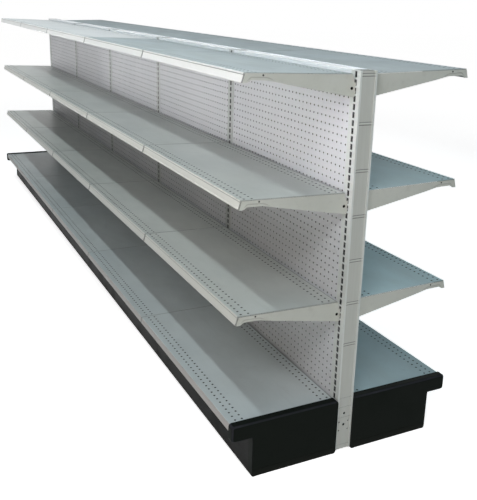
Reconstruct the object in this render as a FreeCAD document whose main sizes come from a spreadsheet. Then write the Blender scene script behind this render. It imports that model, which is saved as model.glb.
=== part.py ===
import FreeCAD, Part
import os

import Sketcher

# Double-sided gondola shelving run: six slotted uprights, five bays, three hooked shelves and a base deck
# on each side. Lengths are millimetres. X runs along the bays, side A faces -Y, side B faces +Y, Z is up,
# and the origin is on the floor in the middle of the run.

SIZES = (
    # the run
    ("bay_width", 914.4, "slot line to slot line"),
    ("bay_count", 5, "bays in the run"),
    ("foot_height", 7, "floor to the underside of the steelwork"),
    # uprights
    ("upright_width", 50.8, "along the run"),
    ("upright_depth", 63.5, "slotted face to slotted face"),
    ("upright_top", 1346.2, "floor to the top of the upright"),
    ("upright_wall", 2, "steel thickness"),
    ("flange_strip", 8, "depth of the bright edge strip beside each slotted face"),
    ("web_recess", 2.5, "how far the web lies behind the edge strips"),
    ("slot_pitch", 25.4, "slot to slot"),
    ("slot_tall", 17.5, "slot height"),
    ("slot_wide", 6, "slot width, room for two brackets side by side"),
    ("slot_count", 45, "slots above the base deck"),
    ("top_slot_drop", 12.7, "top of the upright to the middle of the top slot"),
    ("chase_above", 5, "room for the hook's claw above its slot"),
    ("chase_below", 3, "room for the tipped hook below its slot"),
    ("base_slot_tall", 40, "height of the slot for the base bracket"),
    ("base_slot_low", 125, "floor to the lower edge of that slot"),
    # shelf levels
    ("level_count", 3, "hooked shelves on each side of a bay"),
    ("level_slots", 15, "slots from one shelf to the next"),
    ("hook_slot", 1, "slots from the top slot down to the hook of the highest shelf"),
    # shelf pan, measured outward and upward from the hook's bearing edge
    ("sheet_gauge", 1.2, "shelf sheet thickness"),
    ("pan_rear", 13, "bearing edge to the rear of the pan"),
    ("pan_reach", 386.5, "bearing edge to the front edge of the pan"),
    ("rear_rise", 36.2, "height of the rear edge"),
    ("front_rise", 45.4, "height of the front edge"),
    ("rear_flange", 20, "turned-down rear flange"),
    ("lip_drop", 30.7, "height of the price lip"),
    ("lip_lean", 8.9, "how far the lip's foot leans out"),
    ("lip_hem", 6, "hem turned in at the lip's foot"),
    ("ticket_drop", 6, "front edge down to the ticket groove along the lip"),
    ("ticket_tall", 4, "height of the groove"),
    ("ticket_deep", 0.8, "depth of the groove"),
    # shelf bracket, in the same local frame
    ("bracket_plate", 2.5, "bracket thickness"),
    ("bracket_gap", 0.25, "slot line to the bracket"),
    ("bracket_tail", 74, "bracket height at the upright"),
    ("bracket_waist", 33, "bracket height where the straight lower edge ends"),
    ("bracket_throat", 22, "bracket height along the arch behind the nose"),
    ("waist_set", 134, "front edge back to the waist"),
    ("throat_rear", 75, "front edge back to the rear of the arch"),
    ("throat_front", 20, "front edge back to the front of the arch"),
    ("nose_rear", 8, "front edge back to the inside of the nose"),
    ("hook_neck", 8.7, "height of the hook's neck"),
    ("hook_deep", 7, "how far the hook reaches behind the slotted wall"),
    ("hook_claw", 21, "height of the upturned claw"),
    ("claw_gap", 1, "room between the claw and the wall"),
    ("relief", 7, "set-back of the rear edge just above the neck"),
    ("tab_lift", 1.5, "room under the lower tab"),
    ("tab_tall", 7.4, "height of the lower tab"),
    ("tab_deep", 6, "how far the lower tab reaches behind the wall"),
    # base
    ("deck_top", 203.2, "floor to the deck"),
    ("deck_rear", 34, "middle of the run to the rear of the deck"),
    ("deck_front", 437, "middle of the run to the front edge of the deck"),
    ("deck_lip", 25, "height of the deck's front lip"),
    ("deck_lean", 4, "how far its foot leans out"),
    ("deck_gap", 0.5, "slot line to the end of a deck"),
    ("base_plate", 3, "base bracket thickness"),
    ("base_flange", 40, "width of its top flange"),
    ("base_flange_rear", 40, "middle of the run to the rear of the flange"),
    ("base_front", 420, "middle of the run to its front"),
    ("base_nose", 26, "height of its front end"),
    ("base_tab_deep", 9, "how far its tab reaches into the upright"),
    ("base_tab_tall", 25, "height of the tab"),
    ("kick_front", 365, "middle of the run to the face of the kick plate"),
    ("kick_plate", 1.5, "kick plate thickness"),
    ("kick_bottom", 3, "floor to the kick plate"),
    ("kick_top", 147, "floor to the top of the kick plate"),
    ("front_foot", 345, "middle of the run to the front foot"),
    ("foot_flats", 24, "levelling foot, across flats"),
    # end covers
    ("cover_front", 443, "middle of the run to the nose of the cover"),
    ("cover_top", 209.3, "floor to the top rim"),
    ("cover_nose", 147.8, "floor to the underside of the nose"),
    ("cover_toe", 367, "middle of the run to the toe face"),
    ("cover_proud", 6.35, "how far it stands out past the upright"),
    ("cover_deep", 30, "depth along the run"),
    ("cover_wall", 3, "moulded wall"),
    ("cover_corner", 10, "corner radius"),
    # back panels and rails
    ("panel_thick", 5, "pegboard thickness"),
    ("panel_bottom", 110, "floor to the lower edge of the panels"),
    ("rail_sheet", 2, "rail steel thickness"),
    ("rail_tall", 40, "height of the centre and bottom rails"),
    ("centre_rail_low", 700, "floor to the underside of the centre rail"),
    ("top_skirt", 20, "depth of the top rail's skirts"),
    ("top_ridge", 2, "height of the top rail's raised edges"),
    ("top_ridge_wide", 3, "width of the raised edges"),
)
SHEET = "sizes"
LEVEL_NAMES = ("upper", "middle", "lower")
SIDES = ("a", "b")


class Size:
    """A length worked out from the sheet: its number now and the expression that keeps it bound."""

    def __init__(self, number, text):
        self.number = float(number)
        self.text = text

    @staticmethod
    def of(thing):
        return thing if isinstance(thing, Size) else Size(thing, repr(float(thing)))

    def _with(self, other, number, sign):
        return Size(number, f"({self.text} {sign} {other.text})")

    def __add__(self, other):
        other = Size.of(other)
        return self._with(other, self.number + other.number, "+")

    def __sub__(self, other):
        other = Size.of(other)
        return self._with(other, self.number - other.number, "-")

    def __mul__(self, other):
        other = Size.of(other)
        return self._with(other, self.number * other.number, "*")

    def __truediv__(self, other):
        other = Size.of(other)
        return self._with(other, self.number / other.number, "/")

    def __radd__(self, other):
        return Size.of(other) + self

    def __rsub__(self, other):
        return Size.of(other) - self

    def __rmul__(self, other):
        return Size.of(other) * self

    def __neg__(self):
        return Size(-self.number, f"(-{self.text})")


class Sheet:
    """The driving dimensions, read as attributes: sheet.bay_width is a Size."""

    def __init__(self, doc):
        cells = doc.addObject("Spreadsheet::Sheet", SHEET)
        for row, (alias, number, note) in enumerate(SIZES, start=1):
            cells.set(f"A{row}", note)
            cells.set(f"B{row}", str(number))
            cells.setAlias(f"B{row}", alias)
        doc.recompute()
        self._sizes = {alias: Size(number, f"{SHEET}.{alias}") for alias, number, _ in SIZES}

    def __getattr__(self, alias):
        return self._sizes[alias]


doc = FreeCAD.newDocument("gondola_run")
size = Sheet(doc)


# Helpers


def origin_feature(body, role):
    return next(f for f in body.Origin.OriginFeatures if f.Role == role)


def new_body(name):
    return doc.addObject("PartDesign::Body", name)


def sketch_on(body, name, role, offset=None):
    """A sketch on one of the body's own planes, moved along the plane's normal by offset."""
    sketch = body.newObject("Sketcher::SketchObject", name)
    sketch.AttachmentSupport = (origin_feature(body, role), "")
    sketch.MapMode = "FlatFace"
    if offset is not None:
        sketch.setExpression("AttachmentOffset.Base.z", offset.text)
    return sketch


def draw(sketch, corners):
    """Adds a closed outline whose corners are bound to the sheet."""
    first = sketch.GeometryCount
    points = [(Size.of(x), Size.of(y)) for x, y in corners]
    ends = points[1:] + points[:1]
    for (x0, y0), (x1, y1) in zip(points, ends):
        start = FreeCAD.Vector(x0.number, y0.number, 0)
        end = FreeCAD.Vector(x1.number, y1.number, 0)
        sketch.addGeometry(Part.LineSegment(start, end), False)
    for i in range(len(points)):
        after = first + (i + 1) % len(points)
        sketch.addConstraint(Sketcher.Constraint("Coincident", first + i, 2, after, 1))
    for i, (x, y) in enumerate(points):
        for kind, length in (("DistanceX", x), ("DistanceY", y)):
            rule = Sketcher.Constraint(kind, -1, 1, first + i, 1, length.number)
            index = sketch.addConstraint(rule)
            sketch.setExpression(f"Constraints[{index}]", length.text)


def box_corners(x0, y0, x1, y1):
    return [(x0, y0), (x1, y0), (x1, y1), (x0, y1)]


def pad(body, sketch, name, length, symmetric=False):
    feature = body.newObject("PartDesign::Pad", name)
    feature.Profile = sketch
    feature.setExpression("Length", length.text)
    if symmetric:
        feature.SideType = "Symmetric"
    body.Tip = feature
    return feature


def pocket(body, sketch, name, length, symmetric=True):
    """A cut, to both sides of the sketch or along its normal; the volume has to fall."""
    doc.recompute()
    before = body.Shape.Volume
    feature = body.newObject("PartDesign::Pocket", name)
    feature.Profile = sketch
    feature.setExpression("Length", length.text)
    if symmetric:
        feature.SideType = "Symmetric"
    else:
        feature.Reversed = True
    body.Tip = feature
    doc.recompute()
    if not body.Shape.Volume < before:
        raise ValueError(f"{name} cuts nothing")
    return feature


def pattern_down(body, feature, name, step, count):
    """Repeats a feature downwards."""
    pattern = body.newObject("PartDesign::LinearPattern", name)
    pattern.Originals = [feature]
    pattern.Direction = (origin_feature(body, "Z_Axis"), [""])
    pattern.Reversed = True
    pattern.setExpression("Length", (step * (count - 1)).text)
    pattern.setExpression("Occurrences", count.text)
    body.Tip = pattern
    return pattern


def group(label, members, x=None, y=None, z=None, turned=False):
    """Sets solids side by side under one label, at a place bound to the sheet; turned faces side B."""
    made = doc.addObject("Part::Compound", label)
    made.Label = label
    made.Links = members
    if turned:
        made.Placement = FreeCAD.Placement(FreeCAD.Vector(), FreeCAD.Rotation(FreeCAD.Vector(0, 0, 1), 180))
    for axis, length in (("x", x), ("y", y), ("z", z)):
        if length is not None:
            made.setExpression(f"Placement.Base.{axis}", Size.of(length).text)
    return made


def mirrored(label, source, normal):
    made = doc.addObject("Part::Mirroring", label)
    made.Source = source
    made.Normal = FreeCAD.Vector(*normal)
    return made


# Places along the run

BAYS = int(size.bay_count.number)
LEVELS = int(size.level_count.number)


def slot_line(index):
    """X of an upright's slot line, counted from the far (-X) end."""
    return size.bay_width * (index - BAYS / 2)


def bay_middle(index):
    return size.bay_width * (index - (BAYS - 1) / 2)


def hook_edge(level):
    """Height of the slot edge that carries the shelf hook at a level."""
    steps = size.hook_slot + size.level_slots * level
    middle = size.upright_top - size.top_slot_drop - size.slot_pitch * steps
    return middle - size.slot_tall / 2


# Upright: two channels either side of the slot line, closed by the slotted faces


def make_upright():
    body = new_body("upright")
    edge_x = size.upright_width / 2
    edge_y = size.upright_depth / 2
    web_x = edge_x - size.web_recess
    strip_y = edge_y - size.flange_strip
    inner_y = edge_y - size.upright_wall
    section = sketch_on(body, "upright_section", "XY_Plane", size.foot_height)
    draw(section, [
        (-edge_x, -edge_y), (edge_x, -edge_y), (edge_x, -strip_y), (web_x, -strip_y),
        (web_x, strip_y), (edge_x, strip_y), (edge_x, edge_y), (-edge_x, edge_y),
        (-edge_x, strip_y), (-web_x, strip_y), (-web_x, -strip_y), (-edge_x, -strip_y),
    ])
    cavity_in = size.slot_wide / 2 + size.upright_wall
    cavity_out = web_x - size.upright_wall
    draw(section, box_corners(cavity_in, -inner_y, cavity_out, inner_y))
    draw(section, box_corners(-cavity_out, -inner_y, -cavity_in, inner_y))
    pad(body, section, "upright_column", size.upright_top - size.foot_height)

    half_slot = size.slot_wide / 2
    top_slot = size.upright_top - size.top_slot_drop
    slot = sketch_on(body, "slot_outline", "XZ_Plane")
    draw(slot, box_corners(-half_slot, top_slot - size.slot_tall / 2,
                           half_slot, top_slot + size.slot_tall / 2))
    punched = pocket(body, slot, "slot", size.upright_depth + size.slot_pitch)
    pattern_down(body, punched, "slot_column", size.slot_pitch, size.slot_count)

    base_slot = sketch_on(body, "base_slot_outline", "XZ_Plane")
    draw(base_slot, box_corners(-half_slot, size.base_slot_low,
                                half_slot, size.base_slot_low + size.base_slot_tall))
    pocket(body, base_slot, "base_slot", size.upright_depth + size.slot_pitch)

    # room behind the slotted faces for the hooks of both sides
    edge = hook_edge(0)
    chase = sketch_on(body, "hook_chase_outline", "YZ_Plane")
    draw(chase, box_corners(-inner_y, edge - size.chase_below,
                            inner_y, edge + size.slot_tall + size.chase_above))
    hollowed = pocket(body, chase, "hook_chase", size.slot_wide)
    pattern_down(body, hollowed, "hook_chases", size.slot_pitch * size.level_slots, size.level_count)
    return body


# Shelf: pan and two brackets, drawn from the bearing edge of the hook, outward along -Y


def pan_height(back):
    """Height of the sloping pan this far behind its front edge."""
    slope = (size.front_rise - size.rear_rise) / (size.pan_reach - size.pan_rear)
    return size.front_rise - slope * back


def lip_out(drop):
    """How far the leaning lip stands out this far below the front edge."""
    return size.lip_lean * drop / size.lip_drop


def make_pan():
    body = new_body("shelf_pan")
    gauge = size.sheet_gauge
    front, rear = size.pan_reach, size.pan_rear
    lip_foot = size.front_rise - size.lip_drop
    groove_foot = size.ticket_drop + size.ticket_tall
    outline = [
        (rear, size.rear_rise - size.rear_flange),
        (rear, size.rear_rise),
        (front, size.front_rise),
        (front + lip_out(size.ticket_drop), size.front_rise - size.ticket_drop),
        (front + lip_out(size.ticket_drop) - size.ticket_deep, size.front_rise - size.ticket_drop),
        (front + lip_out(groove_foot), size.front_rise - groove_foot),
        (front + size.lip_lean, lip_foot),
        (front + size.lip_lean - size.lip_hem, lip_foot),
        (front + size.lip_lean - size.lip_hem, lip_foot + gauge),
        (front + size.lip_lean - gauge * 1.4, lip_foot + gauge),
        (front - gauge, size.front_rise - gauge * 2),
        (rear + gauge, size.rear_rise - gauge),
        (rear + gauge, size.rear_rise - size.rear_flange),
    ]
    profile = sketch_on(body, "pan_profile", "YZ_Plane")
    draw(profile, [(-out, up) for out, up in outline])
    inside = size.bay_width - (size.bracket_gap + size.bracket_plate) * 2
    pad(body, profile, "pan_sheet", inside, symmetric=True)
    return body


def make_bracket():
    """The bracket at the -X end of a shelf: stamped plate, upturned claw above, plain tab below."""
    body = new_body("bracket_left")
    wall, front = size.upright_wall, size.pan_reach
    lip_foot = size.front_rise - size.lip_drop
    tab_low = size.tab_lift - size.slot_pitch
    outline = [
        (size.pan_rear, size.rear_rise),
        (front, size.front_rise),
        (front + size.lip_lean, lip_foot),
        (front - size.nose_rear, lip_foot),
        (front - size.throat_front, pan_height(size.throat_front) - size.bracket_throat),
        (front - size.throat_rear, pan_height(size.throat_rear) - size.bracket_throat),
        (front - size.waist_set, pan_height(size.waist_set) - size.bracket_waist),
        (wall, size.rear_rise - size.bracket_tail),
        (wall, tab_low),
        (-size.tab_deep, tab_low),
        (-size.tab_deep, tab_low + size.tab_tall),
        (wall, tab_low + size.tab_tall),
        (wall, 0),
        (-size.hook_deep, 0),
        (-size.hook_deep, size.hook_claw),
        (-size.claw_gap, size.hook_claw),
        (-size.claw_gap, size.hook_neck),
        (size.relief, size.hook_neck),
    ]
    start = size.bracket_gap - size.bay_width / 2
    profile = sketch_on(body, "bracket_outline", "YZ_Plane", start)
    draw(profile, [(-Size.of(out), up) for out, up in outline])
    pad(body, profile, "bracket_stamping", size.bracket_plate)
    return body


# Base: deck, bracket, kick plate, foot, end cover, all drawn on side A


def make_deck():
    body = new_body("deck_pan")
    gauge, top, front, rear = size.sheet_gauge, size.deck_top, size.deck_front, size.deck_rear
    lip_foot = top - size.deck_lip
    outline = [
        (rear, top - size.rear_flange),
        (rear, top),
        (front, top),
        (front + size.deck_lean, lip_foot),
        (front + size.deck_lean - size.lip_hem, lip_foot),
        (front + size.deck_lean - size.lip_hem, lip_foot + gauge),
        (front + size.deck_lean - gauge * 1.2, lip_foot + gauge),
        (front - gauge, top - gauge),
        (rear + gauge, top - gauge),
        (rear + gauge, top - size.rear_flange),
    ]
    profile = sketch_on(body, "deck_profile", "YZ_Plane")
    draw(profile, [(-out, up) for out, up in outline])
    pad(body, profile, "deck_sheet", size.bay_width - size.deck_gap * 2, symmetric=True)
    return body


def make_base_bracket():
    """Plate with a tab in the upright's base slot; its flange carries the ends of two decks."""
    body = new_body("base_bracket")
    face = size.upright_depth / 2
    top = size.deck_top - size.sheet_gauge
    leg = size.kick_front - size.kick_plate
    tab_in = face - size.base_tab_deep
    tab_low, tab_high = size.base_slot_low, size.base_slot_low + size.base_tab_tall
    outline = [
        (face, size.foot_height), (leg, size.foot_height), (leg, size.kick_top),
        (size.base_front, top - size.base_nose), (size.base_front, top), (size.base_flange_rear, top),
        (size.base_flange_rear, tab_high), (tab_in, tab_high), (tab_in, tab_low), (face, tab_low),
    ]
    profile = sketch_on(body, "base_bracket_outline", "YZ_Plane")
    draw(profile, [(-out, up) for out, up in outline])
    pad(body, profile, "base_bracket_plate", size.base_plate, symmetric=True)
    flange = sketch_on(body, "base_flange_outline", "XY_Plane", top - size.base_plate)
    half = size.base_flange / 2
    draw(flange, box_corners(-half, -size.base_front, half, -size.base_flange_rear))
    pad(body, flange, "base_flange", size.base_plate)
    return body


def make_kick_plate():
    body = new_body("kick_plate")
    profile = sketch_on(body, "kick_profile", "YZ_Plane")
    back = size.kick_front - size.kick_plate
    draw(profile, box_corners(-size.kick_front, size.kick_bottom, -back, size.kick_top))
    pad(body, profile, "kick_sheet", size.bay_width - size.deck_gap * 2, symmetric=True)
    return body


def make_foot():
    """Hexagonal head of a levelling screw."""
    foot = doc.addObject("Part::Prism", "foot")
    foot.Polygon = 6
    foot.setExpression("Circumradius", (size.foot_flats / 3 ** 0.5).text)
    foot.setExpression("Height", size.foot_height.text)
    return foot


def make_end_cover():
    """Moulded cover at the +X end of side A: a shell with rounded corners, open at its back and foot."""
    body = new_body("cover_right_a")
    face, wall = size.upright_depth / 2, size.cover_wall
    outside = size.bay_width * BAYS / 2 + size.upright_width / 2 + size.cover_proud
    profile = sketch_on(body, "cover_outline", "YZ_Plane", outside - size.cover_deep)
    draw(profile, [
        (-face, 0), (-face, size.cover_top), (-size.cover_front, size.cover_top),
        (-size.cover_front, size.cover_nose), (-size.cover_toe, size.cover_nose), (-size.cover_toe, 0),
    ])
    moulding = pad(body, profile, "cover_block", size.cover_deep)
    doc.recompute()

    round_corners = body.newObject("PartDesign::Fillet", "cover_corners")
    rounded = {(-face.number, size.cover_top.number), (-size.cover_front.number, size.cover_top.number),
               (-size.cover_front.number, size.cover_nose.number)}
    round_corners.Base = (moulding, [
        f"Edge{i}" for i, e in enumerate(moulding.Shape.Edges, start=1)
        if e.BoundBox.XLength > wall.number and (round(e.BoundBox.YMin, 4), round(e.BoundBox.ZMin, 4)) in rounded
    ])
    round_corners.setExpression("Radius", size.cover_corner.text)
    body.Tip = round_corners
    doc.recompute()

    hollow = sketch_on(body, "cover_hollow_outline", "YZ_Plane", outside - size.cover_deep)
    draw(hollow, [
        (-face - wall, 0), (-face - wall, size.cover_top - wall * 2),
        (wall * 2 - size.cover_front, size.cover_top - wall * 2),
        (wall * 2 - size.cover_front, size.cover_nose + wall),
        (wall - size.cover_toe, size.cover_nose + wall), (wall - size.cover_toe, 0),
    ])
    pocket(body, hollow, "cover_hollow", size.cover_deep - wall, symmetric=False)
    return body


# Back panels and rails


def make_panel():
    """Pegboard on side A of a bay, held against the rails between the edge strips of two uprights."""
    body = new_body("back_panel")
    strip = size.upright_depth / 2 - size.flange_strip
    top = size.upright_top - size.top_ridge - size.rail_sheet
    profile = sketch_on(body, "panel_profile", "YZ_Plane")
    draw(profile, box_corners(-strip - size.panel_thick, size.panel_bottom, -strip, top))
    pad(body, profile, "panel_board", size.bay_width - size.upright_width, symmetric=True)
    return body


def make_top_rail():
    """Cap channel with two raised edges; its skirts hold the panels' upper edges."""
    body = new_body("top_rail")
    edge = size.upright_depth / 2
    top = size.upright_top
    plate = top - size.top_ridge
    skirt = top - size.top_skirt
    ridge = edge - size.top_ridge_wide
    inside = edge - size.rail_sheet
    profile = sketch_on(body, "top_rail_profile", "YZ_Plane")
    draw(profile, [
        (-edge, skirt), (-edge, top), (-ridge, top), (-ridge, plate), (ridge, plate), (ridge, top),
        (edge, top), (edge, skirt), (inside, skirt), (inside, plate - size.rail_sheet),
        (-inside, plate - size.rail_sheet), (-inside, skirt),
    ])
    pad(body, profile, "top_rail_channel", size.bay_width - size.upright_width, symmetric=True)
    return body


def channel_corners(edge, low, high):
    """Section of a channel that opens downwards."""
    inside, under = edge - size.rail_sheet, high - size.rail_sheet
    return [(-edge, low), (-edge, high), (edge, high), (edge, low),
            (inside, low), (inside, under), (-inside, under), (-inside, low)]


def make_centre_rail():
    """Channel between the recessed webs, behind the middle of the panels."""
    body = new_body("centre_rail")
    edge = size.upright_depth / 2 - size.flange_strip
    profile = sketch_on(body, "centre_rail_profile", "YZ_Plane")
    draw(profile, channel_corners(edge, size.centre_rail_low, size.centre_rail_low + size.rail_tall))
    web_to_web = size.bay_width - size.upright_width + size.web_recess * 2
    pad(body, profile, "centre_rail_channel", web_to_web, symmetric=True)
    return body


def make_bottom_rail():
    """Channel between the edge strips; the panels of both sides stand on its top face."""
    body = new_body("bottom_rail")
    edge = size.upright_depth / 2 - size.flange_strip + size.panel_thick
    profile = sketch_on(body, "bottom_rail_profile", "YZ_Plane")
    draw(profile, channel_corners(edge, size.panel_bottom - size.rail_tall, size.panel_bottom))
    pad(body, profile, "bottom_rail_channel", size.bay_width - size.upright_width, symmetric=True)
    return body


# Assembly


def build_nodes():
    """Makes each stamped or moulded piece once and sets it everywhere it is used."""
    nodes = []
    upright = make_upright()
    for i in range(BAYS + 1):
        nodes.append(group(f"upright_{i + 1}", [upright], x=slot_line(i)))

    bracket = make_bracket()
    shelf = [make_pan(), bracket, mirrored("bracket_right", bracket, (1, 0, 0))]
    bearing = size.upright_depth / 2 - size.upright_wall
    for side in SIDES:
        turned = side == "b"
        for level in range(LEVELS):
            for i in range(BAYS):
                label = f"shelf_{side}_{LEVEL_NAMES[level]}_{i + 1}"
                nodes.append(group(label, shelf, bay_middle(i), bearing if turned else -bearing,
                                   hook_edge(level), turned))

    deck, panel, kick = make_deck(), make_panel(), make_kick_plate()
    for side in SIDES:
        turned = side == "b"
        for i in range(BAYS):
            nodes.append(group(f"base_deck_{side}_{i + 1}", [deck], x=bay_middle(i), turned=turned))
        for label, piece in (("back_panels", panel), ("kick_plates", kick)):
            row = [group(f"{label}_{side}_at_{i + 1}", [piece], x=bay_middle(i)) for i in range(BAYS)]
            nodes.append(group(f"{label}_{side}", row, turned=turned))

    base_bracket = make_base_bracket()
    for side in SIDES:
        row = [group(f"base_bracket_{side}_at_{i + 1}", [base_bracket], x=slot_line(i)) for i in range(BAYS + 1)]
        nodes.append(group(f"base_brackets_{side}", row, turned=side == "b"))

    for label, rail in (("top_rails", make_top_rail()), ("centre_rails", make_centre_rail()),
                        ("bottom_rails", make_bottom_rail())):
        row = [group(f"{label}_at_{i + 1}", [rail], x=bay_middle(i)) for i in range(BAYS)]
        nodes.append(group(label, row))

    cover_a = make_end_cover()
    cover_b = mirrored("cover_right_b", cover_a, (0, 1, 0))
    for end, turned in (("right", False), ("left", True)):
        for side, cover in (("a", cover_b if turned else cover_a), ("b", cover_a if turned else cover_b)):
            nodes.append(group(f"end_cover_{end}_{side}", [cover], turned=turned))

    foot = make_foot()
    feet = []
    for i in range(BAYS + 1):
        for place, out in (("front", -size.front_foot), ("middle", Size.of(0)), ("rear", size.front_foot)):
            feet.append(group(f"foot_{place}_{i + 1}", [foot], x=slot_line(i), y=out))
    nodes.append(group("levelling_feet", feet))
    return nodes


def check(nodes):
    """Stops if an object failed to compute or a node is not made of sound solids."""
    for thing in doc.Objects:
        if "Invalid" in thing.State or "Error" in thing.State:
            raise ValueError(f"{thing.Label} did not compute: {thing.State}")
    for node in nodes:
        if node.Shape.isNull() or not node.Shape.isValid() or not node.Shape.Solids:
            raise ValueError(f"{node.Label} is not a sound solid")


nodes = build_nodes()
doc.recompute()
check(nodes)
os.makedirs("parts", exist_ok=True)
for node in nodes:
    node.Shape.exportStep(f"parts/{node.Label}.step")
print(len(nodes), "nodes,", sum(len(node.Shape.Solids) for node in nodes), "solids")
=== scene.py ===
"""Looks of a double-sided gondola shelving run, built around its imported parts.

Sizes in the classes are millimetres, as in the part's source, and those of the studio are metres. Meshes are
made in metres, in the part's frame: X along the bays, side A faces -Y, side B faces +Y, Z up from the floor.
"""

import logging
import math
from dataclasses import dataclass, field, replace
from enum import Enum
from functools import cached_property
from typing import Any, ClassVar, Iterable, Mapping, Sequence

import bmesh
import bpy
from mathutils import Matrix, Vector
from mathutils.geometry import tessellate_polygon


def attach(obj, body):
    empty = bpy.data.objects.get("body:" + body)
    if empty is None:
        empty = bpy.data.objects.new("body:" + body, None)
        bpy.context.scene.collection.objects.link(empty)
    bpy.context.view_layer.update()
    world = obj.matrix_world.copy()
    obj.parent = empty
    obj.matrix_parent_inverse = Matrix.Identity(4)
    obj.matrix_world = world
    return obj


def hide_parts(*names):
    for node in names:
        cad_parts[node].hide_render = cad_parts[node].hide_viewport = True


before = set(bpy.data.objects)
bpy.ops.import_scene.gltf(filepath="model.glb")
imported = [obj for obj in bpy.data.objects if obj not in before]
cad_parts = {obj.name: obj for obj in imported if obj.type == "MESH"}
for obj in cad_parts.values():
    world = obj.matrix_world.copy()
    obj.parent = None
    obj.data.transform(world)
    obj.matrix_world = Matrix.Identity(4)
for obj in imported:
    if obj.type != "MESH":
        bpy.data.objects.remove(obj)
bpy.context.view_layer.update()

MM = 0.001
FRAME_BODY = "frame"

# Length of a bay, pitch of the slots and height of the top one, in millimetres
BAY = 914.4
PITCH = 25.4
TOP_SLOT = 1333.5

# Depth of a closed hole as a share of its sheet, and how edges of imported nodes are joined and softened
HOLE_DEPTH = 0.42
WELD_REACH = 0.00002
SOFT_ANGLE = math.radians(50)
SOFT_SEGMENTS = 2

# Spread of a lamp that isn't narrowed, in degrees
WIDE = 180.0

Point2 = tuple[float, float]
Triple = tuple[float, float, float]
Colour = Triple
Corner = Triple
Edges = tuple[float, float, float, float]

log = logging.getLogger("gondola")


class Side(Enum):
    """The two sides of the run."""

    A = "a"
    B = "b"

    @property
    def turn(self) -> Matrix:
        """The turn that brings a piece drawn on side A to this side."""
        return Matrix.Rotation(0.0 if self is Side.A else math.pi, 4, "Z")

    @property
    def sign(self) -> float:
        """The sign of Y on this side."""
        return -1.0 if self is Side.A else 1.0


class Level(Enum):
    """Shelf levels, with the number of slots from the top slot down to the hook."""

    UPPER = 1
    MIDDLE = 16
    LOWER = 31


class End(Enum):
    """The two ends of the run, with the sign of X."""

    LEFT = -1
    RIGHT = 1


def linear(red: int, green: int, blue: int) -> Colour:
    """Turns a colour as a screen shows it, 0 to 255, into scene light.

    Args:
        red: Red as shown.
        green: Green as shown.
        blue: Blue as shown.

    Returns:
        The same colour in linear light, 0 to 1.
    """

    def one(value: int) -> float:
        """One channel in linear light."""
        share = value / 255
        return share / 12.92 if share <= 0.04045 else ((share + 0.055) / 1.055) ** 2.4

    return one(red), one(green), one(blue)


# Shader expressions


class Socket:
    """A shader socket whose sums are written as Python expressions."""

    def __init__(self, nodes: "Nodes", socket: bpy.types.NodeSocket) -> None:
        """Keeps the socket and the tree it belongs to."""
        self.nodes = nodes
        self.socket = socket

    def _math(self, operation: str, *terms: Any) -> "Socket":
        """Adds one Math node for an operation on these terms."""
        return self.nodes.add("ShaderNodeMath", {"operation": operation}, dict(enumerate(terms)))

    def __add__(self, other: Any) -> "Socket":
        """self + other, and other + self"""
        return self._math("ADD", self, other)

    __radd__ = __add__

    def __sub__(self, other: Any) -> "Socket":
        """self - other"""
        return self._math("SUBTRACT", self, other)

    def __rsub__(self, other: Any) -> "Socket":
        """other - self"""
        return self._math("SUBTRACT", other, self)

    def __mul__(self, other: Any) -> "Socket":
        """self * other, and other * self"""
        return self._math("MULTIPLY", self, other)

    __rmul__ = __mul__

    def __truediv__(self, other: Any) -> "Socket":
        """self / other"""
        return self._math("DIVIDE", self, other)

    def __rtruediv__(self, other: Any) -> "Socket":
        """other / self"""
        return self._math("DIVIDE", other, self)

    def __gt__(self, other: Any) -> "Socket":
        """1 where self is above other"""
        return self._math("GREATER_THAN", self, other)

    def __lt__(self, other: Any) -> "Socket":
        """1 where self is below other"""
        return self._math("LESS_THAN", self, other)

    def __abs__(self) -> "Socket":
        """Size without sign."""
        return self._math("ABSOLUTE", self)

    def either(self, other: Any) -> "Socket":
        """The larger of the two."""
        return self._math("MAXIMUM", self, other)

    def fraction(self) -> "Socket":
        """What is left above the whole number below."""
        return self._math("FRACT", self)

    def rise(self, low: float, high: float) -> "Socket":
        """Climbs smoothly from 0 at low to 1 at high.

        Args:
            low: Where the climb starts.
            high: Where it ends; below low, the climb is a fall.

        Returns:
            The share climbed, 0 to 1.
        """
        settings = {"interpolation_type": "SMOOTHSTEP"}
        if low < high:
            return self.nodes.add("ShaderNodeMapRange", settings, {0: self, 1: low, 2: high})
        return self.nodes.add("ShaderNodeMapRange", settings, {0: self, 1: high, 2: low, 3: 1.0, 4: 0.0})

    def above(self, least: float) -> "Socket":
        """Lifts a share, 0 to 1, so that it starts at a least one."""
        return least + self * (1.0 - least)

    def near(self, line: Point2) -> "Socket":
        """1 up to the first of two distances in millimetres, falling to 0 at the second."""
        return self.rise(line[1] * MM, line[0] * MM)

    def within(self, edges: Edges) -> "Socket":
        """1 between the inner two of four distances in millimetres, falling to 0 at the outer two."""
        return self.rise(edges[0] * MM, edges[1] * MM) * self.near(edges[2:])

    def from_nearest(self, first: float, pitch: float) -> "Socket":
        """Distance in metres from the nearest of marks that repeat at a pitch in millimetres."""
        return abs(((self - first * MM) / (pitch * MM) + 0.5).fraction() - 0.5) * (pitch * MM)


@dataclass(frozen=True)
class Grain:
    """A cloudy pattern: clouds to the metre, octaves, the noise where it starts and is full, fine detail."""

    scale: float | Triple
    detail: float
    start: float = 0.3
    full: float = 0.7
    rough: float = 0.55


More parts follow.
